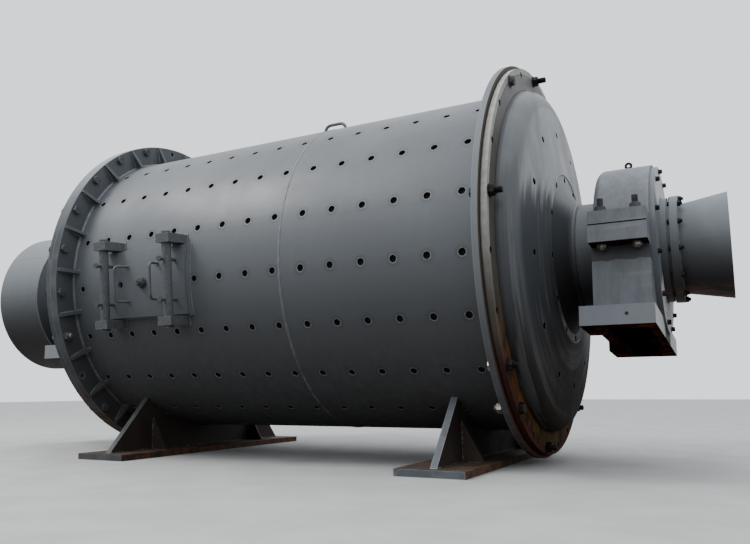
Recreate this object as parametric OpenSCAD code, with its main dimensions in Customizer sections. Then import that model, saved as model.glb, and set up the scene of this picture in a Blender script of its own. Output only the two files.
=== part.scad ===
// Ball mill: a bolted grinding drum on two shipping cradles, with a trunnion bearing at each end,
// a drum feeder at the feed end and a flared mouth at the discharge end.
// The mill axis runs along X, the ground is at Z = 0 and the view side is -Y.

/* [Drum] */
// Outside diameter of the drum shell
drum_d = 2140; // [1900:10:2400]
// Thickness of the shell plate
shell_wall = 20; // [12:1:40]
// Length of the shell between its end flanges
drum_len = 3000; // [2600:10:3600]
// Height of the drum's underside above the ground
underside_h = 195; // [190:5:400]
// Distance from the feed flange to the welded joint between the two shell strakes
strake_joint = 1740; // [1720:5:1860]
// Height of the girth weld above the shell
weld_h = 4; // [2:0.5:8]
// Width of the girth weld
weld_w = 18; // [10:1:30]

/* [Liner bolt holes] */
// Diameter of one liner bolt hole
liner_hole_d = 42; // [24:1:60]
// Distance between neighbouring rings of holes
ring_pitch = 200; // [190:5:210]
// Distance from the feed flange to the first ring
first_ring = 90; // [85:5:110]
// Least distance from the last ring to the discharge flange
last_ring = 60; // [50:5:80]

/* [End flanges] */
// Distance that the feed flange, which also carries the girth gear, stands out of the shell
gear_flange_reach = 152; // [130:1:180]
// Thickness of the feed flange
gear_flange_t = 55; // [35:1:80]
// Distance that the discharge flange stands out of the shell
plain_flange_reach = 165; // [150:1:180]
// Thickness of the discharge flange
plain_flange_t = 35; // [25:1:60]
// Number of bolts round each flange
flange_bolts = 24; // [24:24:24]
// Diameter of the flange bolt holes
flange_hole_d = 39; // [30:1:45]
// Distance from a head's rim to the centre of its bolt holes
bolt_edge = 40; // [34:1:46]
// Length of a flange gusset along the shell
gusset_len = 58; // [40:1:60]
// Thickness of a flange gusset
gusset_t = 20; // [10:1:30]
// Distance that a flange gusset stops short of the flange rim
gusset_rim_gap = 6; // [2:1:12]
// Leg of the fillet weld between a flange and the shell
weld_leg = 12; // [8:1:16]

/* [Heads] */
// Distance that the discharge head's rim stays inside its flange
head_inset = 23; // [10:1:26]
// Thickness of a head's rim
head_rim_t = 40; // [30:1:60]
// Depth of the open groove between the discharge flange and its head
groove_depth = 14; // [6:1:18]
// Width of that groove
groove_w = 11; // [4:1:16]
// Thickness of a head's dished wall
head_wall = 50; // [40:1:60]
// Distance from the shell's outside to the foot of the dish
dish_foot = 5; // [0:1:15]
// Width of the dish's round shoulder
shoulder_w = 115; // [100:1:130]
// Height of the shoulder above the rim's face
shoulder_h = 106; // [90:1:120]
// Rise of the cone from its shoulder to the trunnion boss
cone_rise = 54; // [40:1:80]
// Depth of the flat boss face below the end of the cone
boss_step = 4; // [1:0.5:6]
// Width of the flat boss face outside the trunnion's flare
boss_w = 56; // [50:1:70]
// Diameter of the small holes in a head
head_hole_d = 36; // [20:1:42]
// Distance of the outer circle of holes inside the shell's outside
head_holes_in = 272; // [250:1:290]

/* [Trunnions] */
// Diameter of the bearing journal
journal_d = 600; // [560:2:640]
// Height of the step from the journal to the neck beside the bearing
neck_step = 30; // [20:1:36]
// Thickness of a trunnion's wall at the journal
trunnion_wall = 50; // [40:1:70]
// Width of the flare between the neck and the boss
flare_w = 145; // [130:1:150]
// Length of the flare
flare_len = 96; // [80:1:110]
// Depth of the turned line round the neck, where the flare ends
flare_line = 6; // [3:1:8]
// Width of the trunnion's inner bolting flange outside the flare
inner_flange_w = 95; // [90:1:110]
// Thickness of that flange
inner_flange_t = 40; // [30:1:50]
// Height of the step from the journal to the collar outside the bearing
collar_step = 10; // [6:1:14]
// Length of the collar outside the seal cover
collar_len = 36; // [26:1:50]
// Width of the groove beside the collar
neck_groove = 18; // [10:1:26]
// Depth of that groove
neck_groove_depth = 14; // [8:1:18]
// Height of the end flange above the collar
end_flange_step = 7; // [4:1:12]
// Thickness of the end flange
end_flange_t = 28; // [20:1:36]

/* [Bearings] */
// Distance from a head's joint face to the middle of its bearing
bearing_out = 572; // [565:1:640]
// Length of a bearing housing along the mill axis
housing_len = 300; // [290:2:310]
// Thickness of the bush's wall
bush_t = 45; // [38:1:50]
// Distance that the bush stops short of each face of its housing
bush_inset = 30; // [25:1:40]
// Running clearance between bush and journal
bush_clearance = 0.05; // [0.02:0.01:0.08]
// Thickness of the cap round the bush
cap_wall = 170; // [160:1:190]
// Radius of the round on the cap's drum side
cap_round = 45; // [20:1:70]
// Distance from the cap to the side of the housing body
body_side = 35; // [25:1:45]
// Distance that the split flanges stand out of the body
split_lip = 105; // [95:1:120]
// Thickness of the cap's split flange
cap_flange_t = 76; // [60:1:90]
// Thickness of the lower housing's split flange
low_flange_t = 99; // [80:1:120]
// Chamfer along the split between cap and housing
split_chamfer = 4; // [1:0.5:8]
// Thickness of the housing body below the cap's radius
body_foot = 33; // [25:1:50]
// Thickness of the base plate
base_t = 106; // [90:1:120]
// Distance that the base plate stands out of the body at the front and back
base_lip = 95; // [80:1:110]
// Distance that the feet of the base plate stand out towards the drum
base_in = 60; // [40:1:66]
// Distance that the base plate stands out away from the drum
base_out = 18; // [10:1:26]
// Length of each foot of the base plate across the mill
foot_len = 330; // [260:5:400]
// Thickness of the cored base's outer walls
base_skin = 28; // [20:1:40]
// Thickness of metal between the bush and the cored base
base_core_gap = 60; // [40:1:80]
// Distance of the seal cover's rim inside the cap's outside
cover_inset = 15; // [8:1:25]
// Thickness of the seal cover
cover_t = 30; // [20:1:40]
// Gap between a turning trunnion and the rings round it
seal_gap = 6; // [5:0.5:8]
// Diameter of the holes for the cap studs
stud_hole_d = 44; // [30:1:50]
// Distance between the two studs on one side of the cap
stud_pitch = 180; // [150:5:200]
// Turn of the discharge bearing's housing about the mill axis, as it hangs in the view
housing_turn = -5.2; // [-10:0.1:10]

/* [Feeder and mouth] */
// Outside radius of the drum feeder
feeder_r = 600; // [570:5:660]
// Length of the drum feeder
feeder_len = 463; // [400:1:520]
// Length of the neck between the trunnion's end flange and the feeder
feeder_neck_len = 100; // [80:1:120]
// Thickness of the feeder's plates
feeder_wall = 16; // [10:1:25]
// Radius of the feeder's inlet
inlet_r = 260; // [220:5:300]
// Length of the flared mouth
mouth_len = 273; // [240:1:320]
// Step from the trunnion's bore out to the mouth's own bore
mouth_step = 6; // [2:1:8]
// Distance that the mouth flares outwards over its length
mouth_flare = 44; // [30:1:60]
// Thickness of the mouth's plate
mouth_wall = 8; // [5:1:12]
// Thickness of the bolting flanges of the mouth and of the feeder's neck
mouth_flange_t = 14; // [10:1:20]

/* [Manhole] */
// Length of the manhole door along the drum
door_len = 700; // [680:5:720]
// Height of the manhole door round the drum, as a width of chord
door_h = 436; // [420:2:440]
// Thickness of the manhole door
door_t = 24; // [16:1:28]
// Thickness of the frame that the door seats on
frame_t = 16; // [10:1:20]
// Width of the frame that shows beyond the door's ends
frame_end_rim = 18; // [8:1:24]
// Width of the frame that shows above and below the door
frame_side_rim = 12; // [6:1:12]
// Width of the frame under the edges of the door, at its ends
seat_end_w = 100; // [90:5:120]
// Width of the frame under the edges of the door, above and below
seat_side_w = 43; // [35:1:60]
// Distance between the two clamp bars
bar_spacing = 550; // [540:2:560]
// Diameter of a clamp bar
bar_d = 60; // [50:1:70]
// Distance of a clamp bar's axis outside the shell
bar_out = 106; // [98:1:110]
// Gap between the two clamp lugs of one bar
lug_gap = 468; // [466:2:490]
// Width of a clamp lug along the drum
lug_w = 104; // [90:1:120]
// Height of a clamp lug
lug_h = 56; // [50:1:60]
// Distance that a clamp lug stands out of the shell
lug_out = 146; // [145:1:170]
// Distance that a clamp bar stands out of its lugs
bar_end = 16; // [6:1:20]
// Diameter of a clamp screw
screw_d = 22; // [18:1:28]
// Distance between the two screws of one bar
screw_pitch = 256; // [220:2:280]
// Distance that a clamp screw stands out of its bar
screw_out = 46; // [30:1:60]
// Diameter of the rod of a door handle
handle_rod_d = 16; // [12:1:20]
// Height of a door handle
handle_h = 250; // [220:2:260]
// Distance that a handle stands out of the door
handle_out = 116; // [90:1:125]
// Distance between the feet of the two handles
handle_spacing = 251; // [240:1:270]
// Lean of each handle, away from the middle of the door
handle_lean = 15; // [0:1:20]

/* [Cradles] */
// Distance from the feed flange to the middle of the feed cradle
feed_cradle_in = 310; // [280:5:340]
// Distance from the discharge flange to the middle of the discharge cradle
discharge_cradle_in = 330; // [280:5:360]
// Length of a cradle across the mill
cradle_len = 2100; // [2040:10:2200]
// Width of a cradle's base plate
cradle_base_w = 400; // [350:10:440]
// Thickness of a cradle's base plate
cradle_base_t = 40; // [30:1:50]
// Thickness of the upright saddle plate
saddle_t = 40; // [25:1:50]
// Distance from the end of the base plate to the saddle plate's foot
saddle_in = 70; // [50:5:100]
// Width between the saddle plate's tips where it meets the shell
saddle_top = 1280; // [1180:10:1340]
// Height of a cradle gusset
cradle_gusset_h = 238; // [180:2:250]
// Foot of a cradle gusset
cradle_gusset_w = 130; // [90:5:150]
// Thickness of a cradle gusset
cradle_gusset_t = 14; // [10:1:20]
// Distance between the two gussets on one face
cradle_gusset_spacing = 1156; // [1100:4:1180]

/* [Lifting loop] */
// Distance from the feed flange to the middle of the lifting loop
loop_at = 1520; // [1460:5:1580]
// Width of the lifting loop
loop_w = 200; // [160:5:240]
// Height of the lifting loop
loop_h = 148; // [120:1:148]
// Diameter of the loop's rod
loop_rod_d = 24; // [16:1:30]

/* [Hidden] */
$fn = 96;
drum_r = drum_d / 2;
axis_h = drum_r + underside_h;
shell_in_r = drum_r - shell_wall;
seat_gap = 0.05;
seat_r = drum_r + seat_gap;
hole_rows = 20;
row_step = 360 / hole_rows;
hole_rings = floor((drum_len - last_ring - first_ring) / ring_pitch) + 1;
// Angles are measured about the mill axis, downwards from the level of the axis on the view side
door_row = 5.5;
quarter_start = door_row - 45;
quarter_rows = hole_rows / 4;
first_strake_rings = floor((strake_joint - first_ring) / ring_pitch) + 1;
door_at = first_ring + 3 * ring_pitch;
gear_flange_r = drum_r + gear_flange_reach;
plain_flange_r = drum_r + plain_flange_reach;
feed_head_r = gear_flange_r;
discharge_head_r = plain_flange_r - head_inset;
bolt_step = 360 / flange_bolts;
first_bolt = -8.7;
first_gusset = first_bolt + bolt_step / 2;
gusset_toe = 10;
feed_joint = -gear_flange_t;
discharge_joint = drum_len + plain_flange_t;
feed_bearing = feed_joint - bearing_out;
discharge_bearing = discharge_joint + bearing_out;
housing_half = housing_len / 2;
journal_r = journal_d / 2;
neck_r = journal_r + neck_step;
collar_r = journal_r + collar_step;
end_flange_r = collar_r + end_flange_step;
bore_r = journal_r - trunnion_wall;
flare_r = neck_r + flare_w;
inner_flange_r = flare_r + inner_flange_w;
boss_r = flare_r + boss_w;
boss_face = head_rim_t + shoulder_h + cone_rise - boss_step;
spigot_gap = 8;
inner_seat = boss_face - head_wall + spigot_gap;
head_holes_r = drum_r - head_holes_in;
boss_holes_r = (flare_r + boss_r) / 2;
head_hole_count = 12;
head_hole_phase = 6.3;
bush_r = journal_r + bush_t;
bush_half = housing_half - bush_inset;
journal_half = bush_half + 5;
cap_r = bush_r + cap_wall;
body_half_w = cap_r + body_side;
split_half_w = body_half_w + split_lip;
base_half_w = body_half_w + base_lip;
base_drop = cap_r + body_foot;
cover_r = cap_r - cover_inset;
stud_y = (cap_r + split_half_w) / 2;
collar_end = housing_half + cover_t + collar_len;
end_face = collar_end + neck_groove + end_flange_t;
feeder_face = feed_bearing - end_face;
feeder_plate = feeder_face - feeder_neck_len;
feeder_end = feeder_plate - feeder_len;
mouth_face = discharge_bearing + end_face;
mouth_end = mouth_face + mouth_len;
mouth_in_r = bore_r + mouth_step;
x_mid = (feeder_end + mouth_end) / 2;
door_seat_r = drum_r + frame_t;
gasket_gap = 0.3;
door_face_r = door_seat_r + door_t;
opening_len = door_len + 2 * frame_end_rim - 2 * seat_end_w;
opening_h = door_h + 2 * frame_side_rim - 2 * seat_side_w;
bar_r = drum_r + bar_out;
feed_cradle = feed_cradle_in;
discharge_cradle = drum_len - discharge_cradle_in;
saddle_foot = cradle_len - 2 * saddle_in;
through = 4;
paint = [0.42, 0.45, 0.48];
dark_steel = [0.25, 0.23, 0.22];
bare_steel = [0.62, 0.62, 0.6];
bronze = [0.72, 0.58, 0.35];

// Puts a shape drawn about the local Z axis onto the mill axis: Z becomes the distance along the drum,
// and angle 0 points to the view side, with angles growing downwards
module on_axis() {
    translate([-x_mid, 0, axis_h])
        rotate([-90, 0, 0])
        rotate([0, 90, 0])
        children();
}

// A full ring or disc from a profile of [radius, distance] points
module lathe(points) {
    rotate_extrude()
        polygon(points);
}

// A ring between two radii and two distances
module ring(r_in, r_out, z0, z1) {
    translate([0, 0, z0])
        difference() {
            cylinder(r = r_out, h = z1 - z0);
            translate([0, 0, -through])
                cylinder(r = r_in, h = z1 - z0 + 2 * through);
        }
}

// Round holes along the axis, evenly spaced on a circle
module hole_circle(count, radius, d, first, z0, z1) {
    for (i = [0 : count - 1])
        rotate([0, 0, first + i * 360 / count])
        translate([radius, 0, z0 - through])
        cylinder(d = d, h = z1 - z0 + 2 * through);
}

// One liner bolt hole through the shell
module liner_hole(at, angle) {
    translate([0, 0, at])
        rotate([0, 0, angle])
        translate([shell_in_r - 2 * through, 0, 0])
        rotate([0, 90, 0])
        cylinder(d = liner_hole_d, h = shell_wall + 4 * through);
}

// One quarter of a shell strake, drilled for the liner bolts
module shell_quarter(k, z0, z1, ring0, ring1) {
    color(paint)
        on_axis()
        difference() {
            rotate([0, 0, quarter_start + 90 * k])
                rotate_extrude(angle = 90)
                translate([shell_in_r, z0])
                square([shell_wall, z1 - z0]);
            for (i = [ring0 : ring1])
                for (j = [0 : quarter_rows - 1])
                    liner_hole(first_ring + i * ring_pitch, door_row + 90 * k + row_step * (j - 2));
            if (k == 0 && ring0 == 0)
                manhole_cut();
        }
}

// A straight-sided hole through the shell at the manhole
module manhole_cut() {
    rotate([0, 0, door_row])
        translate([shell_in_r / 2, -opening_h / 2, door_at - opening_len / 2])
        cube([drum_r, opening_h, opening_len]);
}

module shell_feed(k) {
    shell_quarter(k, 0, strake_joint, 0, first_strake_rings - 1);
}

module shell_discharge(k) {
    shell_quarter(k, strake_joint, drum_len, first_strake_rings, hole_rings - 1);
}

// Low weld bead round the joint between the strakes
module girth_weld() {
    color(paint)
        on_axis()
        lathe([[seat_r, strake_joint - weld_w / 2], [drum_r + weld_h, strake_joint - weld_w / 4],
            [drum_r + weld_h, strake_joint + weld_w / 4], [seat_r, strake_joint + weld_w / 2]]);
}

module gear_flange() {
    color(paint)
        on_axis()
        difference() {
            union() {
                ring(shell_in_r, gear_flange_r, feed_joint, 0);
                lathe([[seat_r, 0], [seat_r + weld_leg, 0], [seat_r, weld_leg]]);
            }
            hole_circle(flange_bolts, feed_head_r - bolt_edge, flange_hole_d, first_bolt, feed_joint, 0);
        }
}

module gear_flange_gussets() {
    outer = gear_flange_r - gusset_rim_gap;
    color(paint)
        on_axis()
        for (i = [0 : flange_bolts - 1])
            rotate([0, 0, first_gusset + i * bolt_step])
            translate([0, gusset_t / 2, 0])
            rotate([90, 0, 0])
            linear_extrude(gusset_t)
            polygon([[drum_r + weld_leg, 0], [outer, 0], [outer, gusset_toe],
                [drum_r + gusset_toe, gusset_len], [seat_r, gusset_len], [seat_r, weld_leg]]);
}

module discharge_flange() {
    inner_face = drum_len + seat_gap;
    color(paint)
        on_axis()
        difference() {
            union() {
                ring(shell_in_r, plain_flange_r, inner_face, discharge_joint);
                lathe([[seat_r, inner_face], [seat_r + weld_leg, inner_face],
                    [seat_r, drum_len - weld_leg]]);
            }
            hole_circle(flange_bolts, discharge_head_r - bolt_edge, flange_hole_d, first_bolt,
                drum_len, discharge_joint);
        }
}

// Round shoulder of a head: a quarter of an ellipse from the foot of the dish up to the cone
function shoulder(n, foot_r, width, z0, height) = [for (i = [0 : n])
    [foot_r - width * (1 - cos(90 * i / n)), z0 + height * sin(90 * i / n)]];

// A dished head of outside radius r, drawn from its joint face at distance 0 outwards
module head(r, groove) {
    foot_r = drum_r + dish_foot;
    cone_top = boss_face + boss_step;
    inside_w = shoulder_w + shell_in_r - foot_r + head_wall / 2;
    inside = shoulder(8, shell_in_r, inside_w, head_rim_t, shoulder_h - head_wall);
    difference() {
        lathe(concat(
            [[shell_in_r, 0], [r - groove, 0]],
            groove > 0 ? [[r - groove, groove_w], [r, groove_w]] : [],
            [[r, head_rim_t]],
            shoulder(8, foot_r, shoulder_w, head_rim_t, shoulder_h),
            [[boss_r, cone_top], [boss_r - boss_step, boss_face], [flare_r, boss_face],
                [flare_r, inner_seat], [inner_flange_r + spigot_gap, inner_seat]],
            [for (i = [8 : -1 : 0]) inside[i]]
        ));
        hole_circle(flange_bolts, r - bolt_edge, flange_hole_d, first_bolt, 0, head_rim_t);
        hole_circle(head_hole_count, head_holes_r, head_hole_d, head_hole_phase, 0, cone_top);
        hole_circle(head_hole_count, boss_holes_r, head_hole_d, head_hole_phase, 0, cone_top);
    }
}

module feed_head() {
    color(paint)
        on_axis()
        translate([0, 0, feed_joint])
        mirror([0, 0, 1])
        head(feed_head_r, 0);
}

module discharge_head() {
    color(paint)
        on_axis()
        translate([0, 0, discharge_joint])
        head(discharge_head_r, groove_depth);
}

// Radius of the hollow flare between the boss and the neck, at a share u of its length
function flare_radius(u) = neck_r + flare_w * pow(1 - u, 1.5);

// A hollow trunnion, drawn from the head's joint face outwards
module trunnion() {
    line_z = boss_face + flare_len;
    difference() {
        lathe(concat(
            [[bore_r, inner_seat - inner_flange_t], [inner_flange_r, inner_seat - inner_flange_t],
                [inner_flange_r, inner_seat], [flare_r, inner_seat]],
            [for (i = [0 : 6]) [flare_radius(i / 6), boss_face + flare_len * i / 6]],
            [[neck_r, bearing_out - journal_half], [journal_r, bearing_out - journal_half],
                [journal_r, bearing_out + journal_half], [collar_r, bearing_out + journal_half],
                [collar_r, bearing_out + collar_end],
                [collar_r - neck_groove_depth, bearing_out + collar_end],
                [collar_r - neck_groove_depth, bearing_out + collar_end + neck_groove],
                [end_flange_r, bearing_out + collar_end + neck_groove],
                [end_flange_r, bearing_out + end_face], [bore_r, bearing_out + end_face]]
        ));
        lathe([[neck_r - flare_line, line_z], [neck_r + 2 * flare_line, line_z - 2 * flare_line],
            [neck_r + 2 * flare_line, line_z + 2 * flare_line]]);
        hole_circle(head_hole_count, boss_holes_r, head_hole_d, head_hole_phase,
            inner_seat - inner_flange_t, inner_seat);
    }
}

module feed_trunnion() {
    color(paint)
        on_axis()
        translate([0, 0, feed_joint])
        mirror([0, 0, 1])
        trunnion();
}

module discharge_trunnion() {
    color(paint)
        on_axis()
        translate([0, 0, discharge_joint])
        trunnion();
}

// Short tube with a bolting flange, between the trunnion's end flange and the feeder
module feeder_neck() {
    flange_back = feeder_face - mouth_flange_t;
    color(paint)
        on_axis()
        lathe([[bore_r, feeder_face], [end_flange_r, feeder_face], [end_flange_r, flange_back],
            [bore_r + feeder_wall, flange_back], [bore_r + feeder_wall, feeder_plate],
            [bore_r, feeder_plate]]);
}

// Feeder drum with the plate on its inner end
module feeder_drum() {
    color(paint)
        on_axis()
        lathe([[bore_r, feeder_plate], [feeder_r, feeder_plate], [feeder_r, feeder_end + feeder_wall],
            [feeder_r - feeder_wall, feeder_end + feeder_wall],
            [feeder_r - feeder_wall, feeder_plate - feeder_wall], [bore_r, feeder_plate - feeder_wall]]);
}

module feeder_inlet_plate() {
    color(paint)
        on_axis()
        ring(inlet_r, feeder_r, feeder_end, feeder_end + feeder_wall);
}

// Bolting flange and flared cone of the discharge mouth
module discharge_mouth() {
    cone_foot = mouth_face + mouth_flange_t;
    color(paint)
        on_axis()
        lathe([[bore_r, mouth_face], [end_flange_r, mouth_face], [end_flange_r, cone_foot],
            [mouth_in_r + mouth_wall, cone_foot], [mouth_in_r + mouth_wall + mouth_flare, mouth_end],
            [mouth_in_r + mouth_flare, mouth_end], [mouth_in_r, cone_foot],
            [bore_r, cone_foot - mouth_flange_t / 2]]);
}

// A curved plate on the drum between two radii, of the given length and height at the manhole
module curved_plate(r_in, r_out, length, height) {
    half = asin(height / 2 / r_in);
    rotate([0, 0, door_row - half])
        rotate_extrude(angle = 2 * half)
        translate([r_in, door_at - length / 2])
        square([r_out - r_in, length]);
}

module manhole_frame() {
    color(paint)
        on_axis()
        difference() {
            curved_plate(seat_r, door_seat_r, door_len + 2 * frame_end_rim,
                door_h + 2 * frame_side_rim);
            manhole_cut();
        }
}

module manhole_door() {
    color(paint)
        on_axis()
        difference() {
            curved_plate(door_seat_r + gasket_gap, door_face_r, door_len, door_h);
            for (i = [-1, 0, 1])
                translate([0, 0, door_at + i * ring_pitch])
                rotate([0, 0, door_row])
                translate([door_seat_r - 2 * through, 0, 0])
                rotate([0, 90, 0])
                cylinder(d = liner_hole_d, h = door_t + 4 * through);
        }
}

// Places a piece at the manhole: X points straight out of the drum, Y round it, Z along it
module at_door() {
    on_axis()
        rotate([0, 0, door_row])
        translate([0, 0, door_at])
        children();
}

// A round rod bent into a square-shouldered loop: X away from the feet, Y from foot to foot
module bent_rod(d, span, rise, bend) {
    $fn = 32;
    leg = span / 2 - d / 2;
    top = rise - d / 2;
    for (side = [0, 1])
        mirror([0, side, 0]) {
            translate([0, leg, 0])
                rotate([0, 90, 0])
                cylinder(d = d, h = top - bend);
            translate([top - bend, leg - bend, 0])
                rotate_extrude(angle = 90)
                translate([bend, 0])
                circle(d = d);
        }
    translate([top, bend - leg, 0])
        rotate([-90, 0, 0])
        cylinder(d = d, h = 2 * (leg - bend));
}

module door_handles() {
    foot = sqrt(door_face_r * door_face_r - pow(handle_h / 2, 2));
    sunk = door_t / 2;
    color(paint)
        at_door()
        difference() {
            for (end = [-1, 1])
                translate([foot - sunk, 0, end * handle_spacing / 2])
                rotate([0, -end * handle_lean, 0])
                bent_rod(handle_rod_d, handle_h, handle_out + sunk, 2 * handle_rod_d);
            cylinder(r = door_face_r + seat_gap, h = 2 * handle_spacing, center = true);
        }
}

// Clamp lug: a block welded to the shell, with a hole for the clamp bar
module clamp_lugs() {
    color(paint)
        at_door()
        for (end = [-1, 1])
            for (side = [-1, 1])
                difference() {
                    translate([drum_r - lug_h, side * (lug_gap + lug_h) / 2 - lug_h / 2,
                        end * bar_spacing / 2 - lug_w / 2])
                        cube([lug_h + lug_out, lug_h, lug_w]);
                    translate([0, 0, -bar_spacing])
                        cylinder(r = seat_r, h = 2 * bar_spacing);
                    translate([bar_r, -lug_gap, end * bar_spacing / 2])
                        rotate([-90, 0, 0])
                        cylinder(d = bar_d, h = 2 * lug_gap);
                }
}

module clamp_bars() {
    bar_len = lug_gap + 2 * lug_h + 2 * bar_end;
    color(paint)
        at_door()
        for (end = [-1, 1])
            difference() {
                translate([bar_r, -bar_len / 2, end * bar_spacing / 2])
                    rotate([-90, 0, 0])
                    cylinder(d = bar_d, h = bar_len);
                for (side = [-1, 1])
                    translate([bar_r - bar_d, side * screw_pitch / 2, end * bar_spacing / 2])
                        rotate([0, 90, 0])
                        cylinder(d = screw_d, h = 2 * bar_d);
            }
}

// Clamp screws: they run through the bars and press on the door
module clamp_screws() {
    tip = sqrt(door_face_r * door_face_r - pow(screw_pitch / 2 - screw_d / 2, 2));
    end_r = bar_r + bar_d / 2 + screw_out;
    head_h = 0.7 * screw_d;
    color(bare_steel)
        at_door()
        for (end = [-1, 1])
            for (side = [-1, 1])
                translate([0, side * screw_pitch / 2, end * bar_spacing / 2])
                rotate([0, 90, 0]) {
                    translate([0, 0, tip])
                        cylinder(d = screw_d, h = end_r - head_h - tip);
                    translate([0, 0, end_r - head_h])
                        cylinder(d = 1.7 * screw_d, h = head_h, $fn = 6);
                }
}

// Lifting loop on top of the drum
module lifting_loop() {
    color(paint)
        on_axis()
        translate([0, 0, loop_at])
        rotate([0, 0, -90])
        difference() {
            translate([drum_r - loop_rod_d, 0, 0])
                rotate([90, 0, 0])
                bent_rod(loop_rod_d, loop_w, loop_h + loop_rod_d, 2 * loop_rod_d);
            cylinder(r = seat_r, h = 2 * loop_w, center = true);
        }
}

// Places a cradle piece: origin on the ground below the mill axis, X along the mill
module at_cradle(at) {
    translate([at - x_mid, 0, 0])
        children();
}

module cradle_base(at) {
    color(dark_steel)
        at_cradle(at)
        translate([-cradle_base_w / 2, -cradle_len / 2, 0])
        cube([cradle_base_w, cradle_len, cradle_base_t]);
}

// Upright saddle plate with sloping ends, cut to the round of the shell
module cradle_saddle(at) {
    tip_z = axis_h - sqrt(drum_r * drum_r - saddle_top * saddle_top / 4);
    color(dark_steel)
        at_cradle(at)
        difference() {
            translate([-saddle_t / 2, 0, 0])
                rotate([90, 0, 90])
                linear_extrude(saddle_t)
                polygon([[-saddle_foot / 2, cradle_base_t], [saddle_foot / 2, cradle_base_t],
                    [saddle_top / 2, tip_z], [-saddle_top / 2, tip_z]]);
            translate([-saddle_t, 0, axis_h])
                rotate([0, 90, 0])
                cylinder(r = seat_r, h = 2 * saddle_t);
        }
}

module cradle_gussets(at) {
    color(dark_steel)
        at_cradle(at)
        for (face = [-1, 1])
            for (side = [-1, 1])
                translate([face * saddle_t / 2, side * cradle_gusset_spacing / 2 + cradle_gusset_t / 2,
                    cradle_base_t])
                mirror([face < 0 ? 1 : 0, 0, 0])
                rotate([90, 0, 0])
                linear_extrude(cradle_gusset_t)
                polygon([[0, 0], [cradle_gusset_w, 0], [0, cradle_gusset_h]]);
}

// Places a bearing piece: origin on the mill axis at the bearing's middle, X pointing away from the drum
module at_bearing(at, outward, turn) {
    translate([at - x_mid, 0, axis_h])
        rotate([turn, 0, 0])
        mirror([outward < 0 ? 1 : 0, 0, 0])
        children();
}

// A cylinder along X between two distances
module bar_x(r, x0, x1) {
    translate([x0, 0, 0])
        rotate([0, 90, 0])
        cylinder(r = r, h = x1 - x0);
}

// Space inside a housing: the bush seat, the neck's way in and the collar's way out
module housing_bore() {
    bar_x(bush_r, -bush_half, bush_half);
    bar_x(neck_r + seal_gap, -housing_half - through, 0);
    bar_x(bush_r, 0, housing_half + through);
}

module stud_holes() {
    for (x = [-1, 1])
        for (side = [-1, 1])
            translate([x * stud_pitch / 2, side * stud_y, -low_flange_t - through])
            cylinder(d = stud_hole_d, h = low_flange_t + cap_flange_t + 2 * through);
}

// A split flange between two heights, chamfered along the edge of the split at height 0
module split_flange(z0, z1) {
    far = z1 > 0 ? z1 : z0;
    near = z1 > 0 ? split_chamfer : -split_chamfer;
    translate([-housing_half, 0, 0])
        rotate([90, 0, 90])
        linear_extrude(housing_len)
        polygon([[-split_half_w, far], [-split_half_w, near], [split_chamfer - split_half_w, 0],
            [split_half_w - split_chamfer, 0], [split_half_w, near], [split_half_w, far]]);
}

// Lower housing: box body with a split flange, on a cored base plate with two feet
module bearing_base() {
    core_h = base_drop - bush_r - base_core_gap;
    foot_x = housing_half + base_in;
    difference() {
        union() {
            translate([-housing_half, -body_half_w, -base_drop])
                cube([housing_len, 2 * body_half_w, base_drop - low_flange_t]);
            split_flange(-low_flange_t, 0);
            translate([-housing_half, -base_half_w, -base_drop])
                cube([housing_len + base_out, 2 * base_half_w, base_t]);
            for (side = [0, 1])
                mirror([0, side, 0])
                translate([-foot_x, base_half_w - foot_len, -base_drop])
                cube([foot_x, foot_len, base_t]);
        }
        housing_bore();
        stud_holes();
        bar_x(cover_r + seal_gap / 2, housing_half, foot_x);
        translate([base_skin - housing_half, base_skin - body_half_w, -base_drop - through])
            cube([housing_len - 2 * base_skin, 2 * (body_half_w - base_skin), core_h + through]);
    }
}

// Bearing cap: half a round drum with a rounded shoulder, on a split flange
module bearing_cap() {
    difference() {
        union() {
            rotate([0, 90, 0])
                lathe(concat([[0, -housing_half]],
                    [for (a = [0 : 15 : 90])
                        [cap_r - cap_round * (1 - sin(a)), cap_round * (1 - cos(a)) - housing_half]],
                    [[cap_r, housing_half], [0, housing_half]]));
            split_flange(0, cap_flange_t);
        }
        housing_bore();
        stud_holes();
        translate([-housing_len, -cap_r - through, -cap_r - through])
            cube([2 * housing_len, 2 * (cap_r + through), cap_r + through]);
    }
}

// Half of the bush: side 1 is the upper half and -1 the lower
module half_bush(side) {
    difference() {
        bar_x(bush_r, -bush_half, bush_half);
        bar_x(journal_r + bush_clearance, -housing_half, housing_half);
        translate([-housing_half, -bush_r - through, side > 0 ? -bush_r - through : 0])
            cube([housing_len, 2 * (bush_r + through), bush_r + through]);
    }
}

// Seal cover ring on the outer side of a housing
module seal_cover() {
    difference() {
        bar_x(cover_r, housing_half, housing_half + cover_t);
        bar_x(collar_r + seal_gap, 0, 2 * housing_half);
    }
}

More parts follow.
